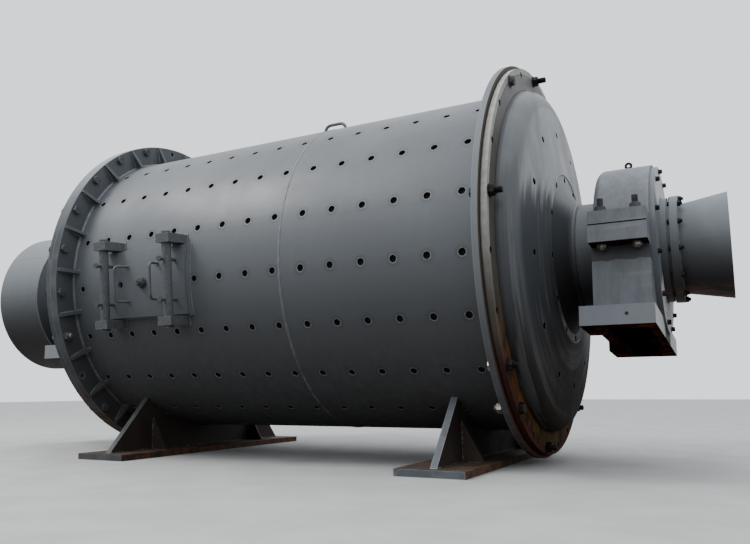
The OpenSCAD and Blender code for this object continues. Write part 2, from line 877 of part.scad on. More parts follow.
shell_feed(0);  // shell_feed_front
shell_feed(1);  // shell_feed_bottom
shell_feed(2);  // shell_feed_rear
shell_feed(3);  // shell_feed_top
shell_discharge(0);  // shell_discharge_front
shell_discharge(1);  // shell_discharge_bottom
shell_discharge(2);  // shell_discharge_rear
shell_discharge(3);  // shell_discharge_top
girth_weld();
gear_flange();
gear_flange_gussets();
discharge_flange();
feed_head();
discharge_head();
feed_trunnion();
discharge_trunnion();
feeder_neck();
feeder_drum();
feeder_inlet_plate();
discharge_mouth();
manhole_frame();
manhole_door();
door_handles();
clamp_lugs();
clamp_bars();
clamp_screws();
lifting_loop();
cradle_base(feed_cradle);  // feed_cradle_base
cradle_saddle(feed_cradle);  // feed_cradle_saddle
cradle_gussets(feed_cradle);  // feed_cradle_gussets
cradle_base(discharge_cradle);  // discharge_cradle_base
cradle_saddle(discharge_cradle);  // discharge_cradle_saddle
cradle_gussets(discharge_cradle);  // discharge_cradle_gussets
color(paint) at_bearing(feed_bearing, -1, 0) bearing_base();  // feed_bearing_base
color(paint) at_bearing(feed_bearing, -1, 0) bearing_cap();  // feed_bearing_cap
color(bronze) at_bearing(feed_bearing, -1, 0) half_bush(-1);  // feed_bush_lower
color(bronze) at_bearing(feed_bearing, -1, 0) half_bush(1);  // feed_bush_upper
color(paint) at_bearing(feed_bearing, -1, 0) seal_cover();  // feed_seal_cover
color(paint) at_bearing(discharge_bearing, 1, housing_turn) bearing_base();  // discharge_bearing_base
color(paint) at_bearing(discharge_bearing, 1, housing_turn) bearing_cap();  // discharge_bearing_cap
color(bronze) at_bearing(discharge_bearing, 1, housing_turn) half_bush(-1);  // discharge_bush_lower
color(bronze) at_bearing(discharge_bearing, 1, housing_turn) half_bush(1);  // discharge_bush_upper
color(paint) at_bearing(discharge_bearing, 1, housing_turn) seal_cover();  // discharge_seal_cover
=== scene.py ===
import bpy
import numpy as np
from math import cos, pi, radians, sin, tau
from mathutils import Matrix


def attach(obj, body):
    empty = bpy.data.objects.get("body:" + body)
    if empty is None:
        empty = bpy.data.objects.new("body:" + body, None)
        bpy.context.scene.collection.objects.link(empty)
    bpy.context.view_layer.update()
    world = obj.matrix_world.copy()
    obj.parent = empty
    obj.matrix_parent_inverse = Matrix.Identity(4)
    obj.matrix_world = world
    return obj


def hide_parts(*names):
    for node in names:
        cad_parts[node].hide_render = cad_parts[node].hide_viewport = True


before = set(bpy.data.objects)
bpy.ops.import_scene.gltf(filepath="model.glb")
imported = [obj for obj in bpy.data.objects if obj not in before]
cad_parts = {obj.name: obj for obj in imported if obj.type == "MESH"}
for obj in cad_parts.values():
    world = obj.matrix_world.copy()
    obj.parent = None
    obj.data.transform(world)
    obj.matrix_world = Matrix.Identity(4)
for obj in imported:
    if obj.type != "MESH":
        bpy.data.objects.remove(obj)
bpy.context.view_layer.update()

# Studio
# The mill stands on a plain pale floor under soft daylight, seen from low down in front of its
# discharge end, as in the photograph.
EYE = (2.7767, -4.5471, 0.4455)
TURNED_LEFT, TILTED_UP, ROLLED = radians(27.47), radians(8.45), radians(-0.35)
FOCAL_PX, IMAGE_W, IMAGE_H, CENTRE_PX = 712.88, 750, 544, (363.97, 285.09)

forward = np.array([-sin(TURNED_LEFT) * cos(TILTED_UP), cos(TURNED_LEFT) * cos(TILTED_UP), sin(TILTED_UP)])
level_right = np.array([cos(TURNED_LEFT), sin(TURNED_LEFT), 0.0])
level_up = np.cross(level_right, forward)
right = cos(ROLLED) * level_right + sin(ROLLED) * level_up
up = cos(ROLLED) * level_up - sin(ROLLED) * level_right
camera = bpy.data.objects.new("camera", bpy.data.cameras.new("camera"))
bpy.context.collection.objects.link(camera)
pose = np.eye(4)
pose[:3, 0], pose[:3, 1], pose[:3, 2], pose[:3, 3] = right, up, -forward, EYE
camera.matrix_world = Matrix(pose.tolist())
camera.data.sensor_width = 36.0
camera.data.lens = FOCAL_PX * 36.0 / IMAGE_W
camera.data.shift_x = (IMAGE_W / 2 - CENTRE_PX[0]) / IMAGE_W
camera.data.shift_y = (CENTRE_PX[1] - IMAGE_H / 2) / IMAGE_W
camera.data.clip_end = 200.0
bpy.context.scene.camera = camera


class Shader:
    """A new material and short calls that add nodes to it. Every call returns an output socket, and
    an input takes either a socket or a plain value, which is set on the node's own socket."""

    def __init__(self, name):
        self.material = bpy.data.materials.new(name)
        self.material.use_nodes = True
        self.tree = self.material.node_tree
        self.surface = self.tree.nodes["Principled BSDF"]

    def put(self, socket, value):
        if isinstance(value, bpy.types.NodeSocket):
            self.tree.links.new(value, socket)
        elif hasattr(value, "__len__") and len(value) == 3 and len(socket.default_value) == 4:
            socket.default_value = (*value, 1.0)
        else:
            socket.default_value = value

    def add(self, kind, out, inputs=(), **settings):
        node = self.tree.nodes.new("ShaderNode" + kind)
        for key, value in settings.items():
            setattr(node, key, value)
        for key, value in dict(inputs).items():
            self.put(node.inputs[key], value)
        return node.outputs[out]

    def math(self, operation, *values):
        return self.add("Math", 0, enumerate(values), operation=operation)

    def where(self):
        return self.add("TexCoord", "Object")

    def split(self, vector):
        """The X, Y and Z of a vector."""
        node = self.tree.nodes.new("ShaderNodeSeparateXYZ")
        self.put(node.inputs[0], vector)
        return node.outputs

    def facing(self):
        """The X, Y and Z of the direction that the face itself looks in."""
        return self.split(self.add("NewGeometry", "True Normal"))

    def size(self, value):
        return self.math("ABSOLUTE", value)

    def times(self, *values):
        """The product of two or more values."""
        product = values[0]
        for value in values[1:]:
            product = self.math("MULTIPLY", product, value)
        return product

    def plus(self, *values):
        return self.math("ADD", *values)

    def greater(self, *values):
        """The greatest of two or more values."""
        greatest = values[0]
        for value in values[1:]:
            greatest = self.math("MAXIMUM", greatest, value)
        return greatest

    def stretched(self, place, scale):
        return self.add("Mapping", 0, {"Vector": place, "Scale": scale})

    def noise(self, place, scale, detail=4.0, roughness=0.55):
        inputs = {"Vector": place, "Scale": scale, "Detail": detail, "Roughness": roughness}
        return self.add("TexNoise", 0, inputs)

    def step(self, value, low, high, out_low=0.0, out_high=1.0):
        """A smooth ramp of value from out_low at low to out_high at high."""
        inputs = {"Value": value, "From Min": low, "From Max": high, "To Min": out_low, "To Max": out_high}
        return self.add("MapRange", 0, inputs, interpolation_type="SMOOTHSTEP")

    def mix(self, share, first, second):
        """The first colour where share is 0 and the second where it is 1."""
        node = self.tree.nodes.new("ShaderNodeMix")
        node.data_type = "RGBA"
        for index, value in ((0, share), (6, first), (7, second)):
            self.put(node.inputs[index], value)
        return node.outputs[2]

    def edges(self, reach):
        """1 along the edges and corners of the piece and 0 elsewhere."""
        rounded, plain = self.add("Bevel", 0, {"Radius": reach}), self.add("NewGeometry", "Normal")
        alike = self.add("VectorMath", "Value", ((0, rounded), (1, plain)), operation="DOT_PRODUCT")
        return self.step(alike, 0.995, 0.92)

    def bump(self, height, depth, strength=1.0):
        self.put(self.surface.inputs["Normal"], self.add(
            "Bump", 0, {"Height": height, "Distance": depth, "Strength": strength}))

    def finish(self, colour, roughness, metallic=0.0):
        for key, value in (("Base Color", colour), ("Roughness", roughness), ("Metallic", metallic)):
            self.put(self.surface.inputs[key], value)
        return self.material


def floor_material():
    """Pale, slightly mottled concrete, which gives back little light, as the dark ground outdoors does."""
    s = Shader("pale_floor")
    grain = s.noise(s.where(), 3.0, 6.0)
    pale = s.mix(s.step(grain, 0.35, 0.65), (0.52, 0.52, 0.51), (0.58, 0.58, 0.57))
    s.bump(grain, 0.002, 0.3)
    seen = s.add("LightPath", "Is Camera Ray")
    return s.finish(s.mix(seen, (0.11, 0.105, 0.10), pale), 0.8)


floor_mesh = bpy.data.meshes.new("floor")
floor_mesh.from_pydata([(-30, -30, 0), (30, -30, 0), (30, 30, 0), (-30, 30, 0)], [], [(0, 1, 2, 3)])
floor = bpy.data.objects.new("floor", floor_mesh)
bpy.context.collection.objects.link(floor)
floor_mesh.materials.append(floor_material())

# An overcast sky: bright overhead, dull at the horizon, and plain pale where the camera sees it.
world = bpy.data.worlds.new("sky")
world.use_nodes = True
bpy.context.scene.world = world
tree = world.node_tree
sky = tree.nodes["Background"]
place, split, ramp, path, pick = [tree.nodes.new("ShaderNode" + kind) for kind in (
    "TexCoord", "SeparateXYZ", "MapRange", "LightPath", "Mix")]
tree.links.new(place.outputs["Generated"], split.inputs[0])
tree.links.new(split.outputs["Z"], ramp.inputs["Value"])
for key, value in (("From Min", -0.05), ("From Max", 0.95), ("To Min", 0.10), ("To Max", 1.8)):
    ramp.inputs[key].default_value = value
tree.links.new(path.outputs["Is Camera Ray"], pick.inputs[0])
tree.links.new(ramp.outputs[0], pick.inputs[2])
pick.inputs[3].default_value = 1.5
tree.links.new(pick.outputs[0], sky.inputs["Strength"])
sky.inputs["Color"].default_value = (0.93, 0.96, 1.0, 1.0)


def soft_light(name, at, towards, size, watts, colour):
    """A square area light at one point, facing another."""
    data = bpy.data.lights.new(name, "AREA")
    data.size, data.energy, data.color = size, watts, colour
    light = bpy.data.objects.new(name, data)
    bpy.context.collection.objects.link(light)
    back = np.subtract(at, towards)
    back = back / np.linalg.norm(back)
    side = np.cross((0.0, 0.0, 1.0), back)
    side = side / np.linalg.norm(side)
    place = np.eye(4)
    place[:3, 0], place[:3, 1], place[:3, 2], place[:3, 3] = side, np.cross(back, side), back, at
    light.matrix_world = Matrix(place.tolist())


soft_light("daylight", (-4.5, -4.0, 7.5), (0.0, 0.0, 1.2), 2.6, 360.0, (1.0, 0.98, 0.96))

# Drum shell
# Rolled steel plate in two welded strakes, drilled with 300 liner bolt holes and sprayed with one
# satin blue-grey coat. The bolts that were driven through the holes left pale chipped rims, dust
# and rust have settled low down, and rain has drawn faint streaks round the plate.
SHIFT, AXIS_Z, DRUM_R, DRUM_LEN = 1.345, 1.265, 1.07, 3.0
PLUS, MINUS = np.array([1.0, 0.0, 0.0]), np.array([-1.0, 0.0, 0.0])
FIRST_RING, RING_PITCH, FIRST_ROW, ROW_PITCH = 0.09, 0.2, radians(5.5), radians(18.0)
PAINT, PAINT_PALE, PAINT_DARK = (0.20, 0.22, 0.24), (0.42, 0.44, 0.45), (0.06, 0.063, 0.066)
RUST, OCHRE, DIRT = (0.10, 0.045, 0.022), (0.30, 0.17, 0.07), (0.055, 0.045, 0.036)


def length_of(s, a, b):
    return s.math("SQRT", s.plus(s.times(a, a), s.times(b, b)))


def polar(s):
    """Distance from the feed flange, radius and angle below the axis level, for the shaded point."""
    x, y, z = s.split(s.where())
    across, drop = s.times(y, -1.0), s.math("SUBTRACT", AXIS_Z, z)
    return s.plus(x, SHIFT), length_of(s, y, drop), s.math("ARCTAN2", drop, across)


def fall_of(s, turn):
    """The angle below the axis level, folded so that the far side mirrors the near one: a quarter
    turn at the bottom, and minus a quarter turn at the top."""
    return s.math("ARCSINE", s.math("SINE", turn))


def to_nearest(s, value, first, pitch):
    """Distance of value from the nearest of first, first + pitch and so on."""
    return s.math("SUBTRACT", s.math("WRAP", value, first + pitch / 2, first - pitch / 2), first)


def coat(s, colour, shine=0.42, dirt=0.75):
    """The satin coat: cloudy tone, runs, fine orange peel and brown dirt low down. Gives the colour, the
    roughness and the height."""
    place = s.where()
    cloud = s.noise(place, 1.7, 5.0)
    runs = s.noise(s.stretched(place, (9.0, 9.0, 0.7)), 2.2, 5.0, 0.6)
    low = s.times(s.step(s.split(place)[2], 1.25, 0.15), s.step(runs, 0.25, 0.75, 0.5, 1.0))
    tone = s.mix(s.step(cloud, 0.3, 0.7, 0.0, 0.5), colour, [c * 0.84 for c in colour])
    tone = s.mix(s.step(runs, 0.52, 0.8, 0.0, 0.3), tone, [c * 1.3 for c in colour])
    tone = s.mix(s.times(low, dirt), tone, DIRT)
    specks = s.step(s.noise(place, 38.0, 6.0, 0.7), 0.67, 0.75)
    tone = s.mix(s.times(specks, 0.45), tone, RUST)
    rough = s.plus(s.step(cloud, 0.3, 0.7, shine - 0.06, shine + 0.1), s.times(low, 0.2))
    height = s.plus(s.times(s.noise(place, 55.0, 3.0), 0.25), s.times(cloud, 0.8))
    return tone, rough, height


def shell_paint():
    """The coat, with painted shade growing from the top towards the underside, a pale chipped rim at each
    liner hole, a ring of painted shade round each rim, and painted shade, nearly black, on the bore walls of
    the holes."""
    s = Shader("shell_paint")
    along, radius, turn = polar(s)
    tone, rough, height = coat(s, PAINT, 0.46)
    fall = fall_of(s, turn)
    # Painted shade: darker everywhere below the top of the drum, and darker still below the axis.
    painted_shade = s.plus(s.step(fall, -1.1, -0.75, 0.0, 0.26), s.step(fall, -0.1, 0.4, 0.0, 0.2))
    tone = s.mix(painted_shade, tone, PAINT_DARK)
    gap = length_of(s, to_nearest(s, along, FIRST_RING, RING_PITCH),
                    s.times(to_nearest(s, turn, FIRST_ROW, ROW_PITCH), radius))
    ragged = s.plus(gap, s.times(s.noise(s.where(), 70.0, 3.0), 0.012))
    chip = s.step(ragged, 0.0325, 0.0285)
    # A ring of painted shade round each hole's chipped rim.
    shade = s.step(ragged, 0.06, 0.036)
    tone = s.mix(s.times(shade, 0.3), tone, PAINT_DARK)
    tone = s.mix(s.times(chip, 0.55), tone, PAINT_PALE)
    # Painted shade: the bore walls of the holes nearly black.
    bore_wall_shade = s.step(radius, DRUM_R - 0.001, DRUM_R - 0.004)
    tone = s.mix(bore_wall_shade, tone, (0.02, 0.018, 0.016))
    s.bump(s.plus(height, s.times(chip, -0.6)), 0.0015, 0.5)
    return s.finish(tone, s.plus(rough, s.times(bore_wall_shade, 0.3)))


def dress(material, *names):
    """The material goes on these CAD nodes."""
    for name in names:
        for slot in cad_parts[name].material_slots:
            slot.material = material


dress(shell_paint(), *[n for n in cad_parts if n.startswith("shell_")])

# Welds
# Electric arc beads laid by hand, 8 to 18 mm wide, rippled and uneven, under the same coat.


def add_piece(name, verts, loops, starts, material, body, smooth=40.0):
    """A mesh piece from its points, its faces' corner list and the place where each face starts."""
    loops = np.asarray(loops, np.int32).ravel()
    mesh = bpy.data.meshes.new(name)
    mesh.vertices.add(len(verts))
    mesh.vertices.foreach_set("co", np.asarray(verts, float).ravel())
    mesh.loops.add(len(loops))
    mesh.loops.foreach_set("vertex_index", loops)
    mesh.polygons.add(len(starts))
    mesh.polygons.foreach_set("loop_start", np.asarray(starts, np.int32).ravel())
    mesh.update(calc_edges=True)
    mesh.validate()
    mesh.shade_smooth()
    mesh.set_sharp_from_angle(angle=radians(smooth))
    mesh.materials.append(material)
    piece = bpy.data.objects.new(name, mesh)
    bpy.context.collection.objects.link(piece)
    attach(piece, body)
    return piece


def strips(rows, columns, closed_rows, closed_columns):
    """Corner indices of the quads of a grid of points, with its last row or column joined to the first."""
    a = np.arange(rows if closed_rows else rows - 1)[:, None]
    b = np.arange(columns if closed_columns else columns - 1)[None, :]
    c, d = (a + 1) % rows, (b + 1) % columns
    return np.stack([a * columns + b, a * columns + d, c * columns + d, c * columns + b], -1).reshape(-1, 4)


def at_drum(s, r, phi):
    """The point at distance s, radius r and angle phi below the axis level, on the view side."""
    s, r, phi = np.broadcast_arrays(s, r, phi)
    return np.stack([s - SHIFT, -r * np.cos(phi), AXIS_Z - r * np.sin(phi)], -1)


def beads(name, paths, outward, body="mill", wide=0.014, high=0.007, closed=False, seed=1):
    """Weld beads over several lines of equal point count: across each line a half ellipse, wide and
    high, whose height follows a scallop of one ripple to each point and a slow random swelling."""
    paths, outward = np.broadcast_arrays(np.asarray(paths, float), np.asarray(outward, float))
    outward = outward / np.linalg.norm(outward, axis=-1, keepdims=True)
    count, points = paths.shape[:2]
    ahead = np.roll(paths, -1, 1) - np.roll(paths, 1, 1) if closed else np.gradient(paths, axis=1)
    side = np.cross(outward, ahead)
    side = side / np.linalg.norm(side, axis=-1, keepdims=True)
    random = np.random.default_rng(seed)
    knots = random.uniform(0.75, 1.2, (count, points // 5 + 2))
    slow = np.stack([np.interp(np.arange(points) / 5, np.arange(knots.shape[1]), row) for row in knots])
    if closed:
        slow[:, -3:] = slow[:, :1]
    swell = slow * (1 + 0.16 * (np.arange(points) % 2))
    if not closed:
        swell[:, [0, -1]] = 0.2
    a = np.linspace(0, pi, 7)
    verts = (paths[:, :, None] + side[:, :, None] * (np.cos(a)[:, None] * wide / 2 * slow[:, :, None, None])
             + outward[:, :, None] * (np.sin(a)[:, None] * high * swell[:, :, None, None] - 0.3 * high))
    quads = strips(points, 7, closed, False)
    quads = (quads[None] + (np.arange(count) * points * 7)[:, None, None]).reshape(-1, 4)
    return add_piece(name, verts.reshape(-1, 3), quads, np.arange(len(quads)) * 4, weld_coat, body)


def weld_paint():
    """The coat over a bead, worn paler in patches, with a fine ripple."""
    s = Shader("weld_paint")
    tone, rough, height = coat(s, PAINT, 0.48)
    worn = s.step(s.noise(s.where(), 26.0, 4.0), 0.42, 0.62)
    tone = s.mix(s.times(worn, 0.45), tone, (0.30, 0.315, 0.325))
    s.bump(s.noise(s.where(), 160.0, 3.0), 0.001, 0.6)
    return s.finish(tone, rough)


def radial(phi):
    """The direction straight out of the drum at angle phi."""
    return np.stack([np.zeros_like(phi), -np.cos(phi), -np.sin(phi)], -1)


def ring_line(s, r, points):
    """A closed circle round the drum, and the directions straight out of it."""
    phi = np.arange(points) * tau / points
    return at_drum(s, r, phi)[None], radial(phi)[None]


weld_coat = weld_paint()
line, out = ring_line(1.74, DRUM_R + 0.0005, 1200)
bead = beads("girth_weld_bead", line, out, wide=0.018, high=0.0035, closed=True, seed=2)
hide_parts("girth_weld")

# Gusset welds: down each side of each of the 24 gussets behind the gear flange, and along the
# corner between flange and shell from gusset to gusset.
GUSSETS, GUSSET_SIDE = radians(-1.2) + np.arange(24) * tau / 24, 0.0115
lines, outs = [], []
for side in (-1, 1):
    reach = np.linspace(DRUM_R + 0.012, DRUM_R + 0.135, 26)
    lines.append(at_drum(0.0015, reach[None], GUSSETS[:, None] + side * GUSSET_SIDE / reach[None]))
    outs.append(np.broadcast_to((radial(GUSSETS + side * pi / 2) + PLUS)[:, None], lines[-1].shape))
beads("gusset_flange_welds", np.concatenate(lines), np.concatenate(outs), wide=0.011, high=0.006, seed=3)
lines, outs = [], []
for side in (-1, 1):
    run = np.linspace(0.010, 0.060, 12)
    lines.append(at_drum(run[None], DRUM_R + 0.001, (GUSSETS + side * GUSSET_SIDE / DRUM_R)[:, None]))
    outs.append(np.broadcast_to(radial(GUSSETS + side * pi / 4)[:, None], lines[-1].shape))
beads("gusset_shell_welds", np.concatenate(lines), np.concatenate(outs), wide=0.011, high=0.006, seed=4)
for name, at, way, seed in (("gear_flange_weld", 0.0065, PLUS, 5),
                            ("discharge_flange_weld", DRUM_LEN - 0.0065, MINUS, 6)):
    line, out = ring_line(at, DRUM_R + 0.0065, 900)
    beads(name, line, out + way, wide=0.019, high=0.005, closed=True, seed=seed)

# Shade sheet
# A black sheet, 3 mm thick, lies against the inside of the shell under the liners. It is painted shade for
# the dark inside of the drum, and makes every hole look black from outside.


def shade_sheet_paint():
    """Matt black, like rubber, with a faint cloth grain and grey dust: painted shade for the inside of the
    drum.
    """
    s = Shader("shade_sheet_black")
    dust = s.noise(s.where(), 8.0, 5.0)
    s.bump(s.noise(s.where(), 300.0, 2.0), 0.0003, 0.3)
    return s.finish(s.mix(s.step(dust, 0.4, 0.7), (0.012, 0.012, 0.012), (0.022, 0.021, 0.02)), 0.85)


# A tube between two radii, as a ring of four corner points swept round the mill axis.
SHEET_OUT, SHEET_IN, SHEET_START, SHEET_END = 1.0494, 1.0464, 0.002, DRUM_LEN - 0.002
phi = np.arange(144) * tau / 144
verts = at_drum(np.array([[SHEET_START, SHEET_END, SHEET_END, SHEET_START]]),
                np.array([[SHEET_OUT, SHEET_OUT, SHEET_IN, SHEET_IN]]), phi[:, None]).reshape(-1, 3)
quads = strips(144, 4, True, True)
# The sheet is painted shade: a black tube standing in for the dark inside of the drum.
add_piece("shade_sheet", verts, quads, np.arange(len(quads)) * 4, shade_sheet_paint(), "mill")

# Manhole, handle, loop and saddle welds
# Fillet beads round the feet of the manhole frame, the four clamp lugs, the handles and the loop.
DOOR_AT, DOOR_PHI, DOOR_FACE_R = FIRST_RING + 3 * RING_PITCH, FIRST_ROW, 1.1103


def rounded_patch(half_s, half_arc, points_s, points_arc):
    """The outline of a patch of the drum about the manhole's middle, as distances and arc lengths."""
    a, b = np.linspace(-half_s, half_s, points_s), np.linspace(-half_arc, half_arc, points_arc)
    along = np.concatenate([a, np.full(points_arc, half_s), a[::-1], np.full(points_arc, -half_s)])
    round_ = np.concatenate([np.full(points_s, -half_arc), b, np.full(points_s, half_arc), b[::-1]])
    return along, round_


def foot_weld(name, r, centres, half, points, wide, high, seed, middle=(DOOR_AT, DOOR_PHI)):
    """A bead round each of several equal feet that stand on a drum surface of radius r. The feet's
    half sizes and the points along their sides are given along the drum and round it."""
    along, round_ = rounded_patch(*half, *points)
    centres = np.asarray(centres, float)
    s = middle[0] + centres[:, :1] + along[None]
    phi = middle[1] + (centres[:, 1:] + round_[None]) / r
    lean_s = np.where(np.abs(along) >= half[0] * 0.999, np.sign(along), 0.0)[None, :, None]
    lean_r = np.where(np.abs(round_) >= half[1] * 0.999, np.sign(round_), 0.0)[None, :, None]
    outward = radial(phi) + lean_s * PLUS + lean_r * radial(phi + pi / 2)
    return beads(name, at_drum(s, r, phi), outward, wide=wide, high=high, closed=True, seed=seed)


SHELL_TOP = DRUM_R + 0.001
LUGS = [(0.275 * a, 0.2665 * b) for a in (-1, 1) for b in (-1, 1)]
HANDLES = [(0.1255 * a, 0.1182 * b) for a in (-1, 1) for b in (-1, 1)]
LOOP_FEET = [(-0.088, 0.0), (0.088, 0.0)]
foot_weld("manhole_frame_weld", SHELL_TOP, [(0, 0)], (0.370, 0.232), (74, 46), 0.011, 0.007, 7)
foot_weld("clamp_lug_welds", SHELL_TOP, LUGS, (0.054, 0.031), (14, 9), 0.011, 0.008, 8)
foot_weld("loop_foot_welds", SHELL_TOP, LOOP_FEET, (0.013, 0.013), (6, 6), 0.009, 0.006, 9, (1.52, -pi / 2))
foot_weld("handle_foot_welds", DOOR_FACE_R + 0.0002, HANDLES, (0.0095, 0.0095), (5, 5), 0.007, 0.005, 10)


def straight_beads(name, lines, wide, high, seed):
    """Beads along straight lines of equal length, with a point every 6 mm. Each line is given as its
    start, its end and the direction out of its corner."""
    starts, ends, outs = (np.asarray(column, float) for column in zip(*lines))
    points = int(np.linalg.norm(ends[0] - starts[0]) / 0.006)
    t = np.linspace(0, 1, points)[None, :, None]
    return beads(name, starts[:, None] * (1 - t) + ends[:, None] * t, outs[:, None],
                 wide=wide, high=high, seed=seed)


# Cradles
# Each is flame-cut mild steel plate, welded up and left bare but for overspray on its edges: a base
# plate, an upright saddle plate cut round to the drum, and two gussets on each face.
CRADLES, CRADLE_TOP = [0.31 - SHIFT, 2.67 - SHIFT], 0.0405
faces = [(x, face) for x in CRADLES for face in (-1, 1)]
sides = [(x, face, y + side * 0.0075, side) for x, face in faces for y in (-0.578, 0.578) for side in (-1, 1)]
cradle_welds = [
    straight_beads("saddle_foot_welds", [
        ((x + face * 0.0205, -0.975, CRADLE_TOP), (x + face * 0.0205, 0.975, CRADLE_TOP), (face, 0, 1))
        for x, face in faces], 0.016, 0.009, 11),
    straight_beads("gusset_upright_welds", [
        ((x + face * 0.021, edge, 0.045), (x + face * 0.021, edge, 0.262), (face, side, 0))
        for x, face, edge, side in sides], 0.013, 0.008, 12),
    straight_beads("gusset_foot_welds", [
        ((x + face * 0.025, edge, CRADLE_TOP), (x + face * 0.145, edge, CRADLE_TOP), (0, side, 1))
        for x, face, edge, side in sides], 0.013, 0.008, 13)]
phi = np.linspace(pi / 2 - 0.62, pi / 2 + 0.62, 230)
lines = np.stack([at_drum(x + SHIFT + face * 0.0205, SHELL_TOP, phi) for x, face in faces])
outs = np.stack([radial(phi) + face * PLUS for x, face in faces])
cradle_welds.append(beads("saddle_drum_welds", lines, outs, wide=0.016, high=0.009, seed=14))


def bare_plate():
    """Hot-rolled plate: dark brown mill scale with rust blooms, browner on the base plates, orange
    along their sides, and blue-grey overspray, chipped at its edges and thicker on the discharge
    cradle, on the flame-cut edges."""
    s = Shader("bare_plate")
    place = s.where()
    scale, bloom = s.noise(place, 5.0, 6.0, 0.6), s.noise(place, 13.0, 7.0, 0.65)
    (x, y, z), facing = s.split(place), s.facing()
    beside = s.size(to_nearest(s, x, CRADLES[0], CRADLES[1] - CRADLES[0]))
    base = s.step(z, 0.0412, 0.0404)
    tone = s.mix(s.step(scale, 0.35, 0.65), (0.034, 0.026, 0.021), (0.056, 0.043, 0.034))
    tone = s.mix(s.step(bloom, 0.55, 0.68, 0.0, 0.8), tone, (0.075, 0.034, 0.017))
    brown = s.mix(s.step(bloom, 0.4, 0.6), (0.12, 0.085, 0.06), (0.07, 0.05, 0.036))
    tone = s.mix(s.times(base, s.step(facing[2], 0.5, 0.8)), tone, brown)
    side = s.times(base, s.step(s.size(facing[0]), 0.5, 0.8))
    tone = s.mix(side, tone, s.mix(s.step(bloom, 0.42, 0.6), (0.17, 0.07, 0.032), (0.06, 0.035, 0.024)))
    edge = s.times(s.step(s.size(facing[1]), 0.4, 0.6), s.greater(base, s.step(beside, 0.0213, 0.0206)))
    spray = s.mix(s.step(scale, 0.4, 0.6), (0.12, 0.142, 0.165), (0.20, 0.225, 0.25))
    spray = s.mix(s.times(s.edges(0.007), 0.6), spray, (0.48, 0.50, 0.52))
    thicker = s.step(x, -0.5, 0.5, 0.5, 1.0)
    tone = s.mix(s.times(edge, thicker, s.step(bloom, 0.66, 0.56, 0.55, 0.95)), tone, spray)
    s.bump(s.noise(place, 90.0, 5.0), 0.0012, 0.5)
    return s.finish(tone, s.step(scale, 0.3, 0.7, 0.5, 0.75), s.times(scale, 0.2))


def bare_weld():
    """Dark brown beads with a few blue-grey flecks of overspray."""
    s = Shader("bare_weld")
    fleck = s.noise(s.where(), 48.0, 4.0)
    s.bump(s.noise(s.where(), 160.0, 3.0), 0.001, 0.6)
    return s.finish(s.mix(s.step(fleck, 0.52, 0.62), (0.045, 0.034, 0.028), (0.16, 0.175, 0.19)), 0.6)


dress(bare_plate(), *[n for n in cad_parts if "cradle" in n])
brown_beads = bare_weld()
for piece in cradle_welds:
    piece.data.materials[0] = brown_beads

# Flanges
# Thick rolled and machined rings. Both were sprayed with the drum; the discharge flange is bare and
# brown in its joint, and red-brown at the bottom, where water ran down and stood.
GEAR_BOLT_R, PLAIN_BOLT_R, FIRST_FLANGE_BOLT, FLANGE_BOLT_PITCH = 1.182, 1.172, radians(-8.7), radians(15.0)
FLANGE_T, RIM_R = 0.035, 1.177


def gear_flange_paint():
    """The coat, dull and darkened by painted shade on the faces, plain on the rim in a tone also darkened by
    painted shade, with an ochre bloom low on the rim, pale worn rings round the bolt holes, a painted
    highlight on the rim's upper part, and pale edges that are both chips and painted highlight.
    """
    s = Shader("gear_flange_paint")
    _, radius, turn = polar(s)
    blotch = s.noise(s.where(), 9.0, 5.0)
    # Painted shade: the flange's faces take the coat at half its tone.
    tone, rough, height = coat(s, [c * 0.5 for c in PAINT], 0.5)
    fall = fall_of(s, turn)
    rim = s.step(s.plus(radius, s.times(blotch, 0.003)), 1.2195, 1.2215)
    # Painted shade: the rim's tone is darker than the drum's coat.
    tone = s.mix(rim, tone, s.mix(s.step(blotch, 0.4, 0.62), (0.15, 0.162, 0.175), (0.115, 0.123, 0.132)))
    ochre = s.times(rim, s.step(fall, 0.3, 1.3), s.step(blotch, 0.42, 0.6, 0.1, 0.7))
    tone = s.mix(ochre, tone, s.mix(s.step(blotch, 0.5, 0.7), OCHRE, RUST))
    gap = length_of(s, s.math("SUBTRACT", radius, GEAR_BOLT_R),
                    s.times(to_nearest(s, turn, FIRST_FLANGE_BOLT, FLANGE_BOLT_PITCH), GEAR_BOLT_R))
    worn = s.step(s.plus(gap, s.times(blotch, 0.014)), 0.037, 0.032, 0.0, 0.25)
    # Painted highlight: the rim paler over its upper part.
    crest_highlight = s.times(rim, s.step(fall, -0.2, -0.9, 0.0, 0.85))
    # Pale edges: chips, and painted highlight along the gusset and flange edges.
    chip = s.times(s.edges(0.006), s.step(blotch, 0.35, 0.6, 0.15, 0.5))
    tone = s.mix(s.greater(worn, crest_highlight, chip), tone, PAINT_PALE)
    s.put(s.surface.inputs["Specular IOR Level"], s.step(rim, 0.0, 1.0, 0.5, 0.0))
    s.bump(height, 0.0015, 0.5)
    return s.finish(tone, rough)


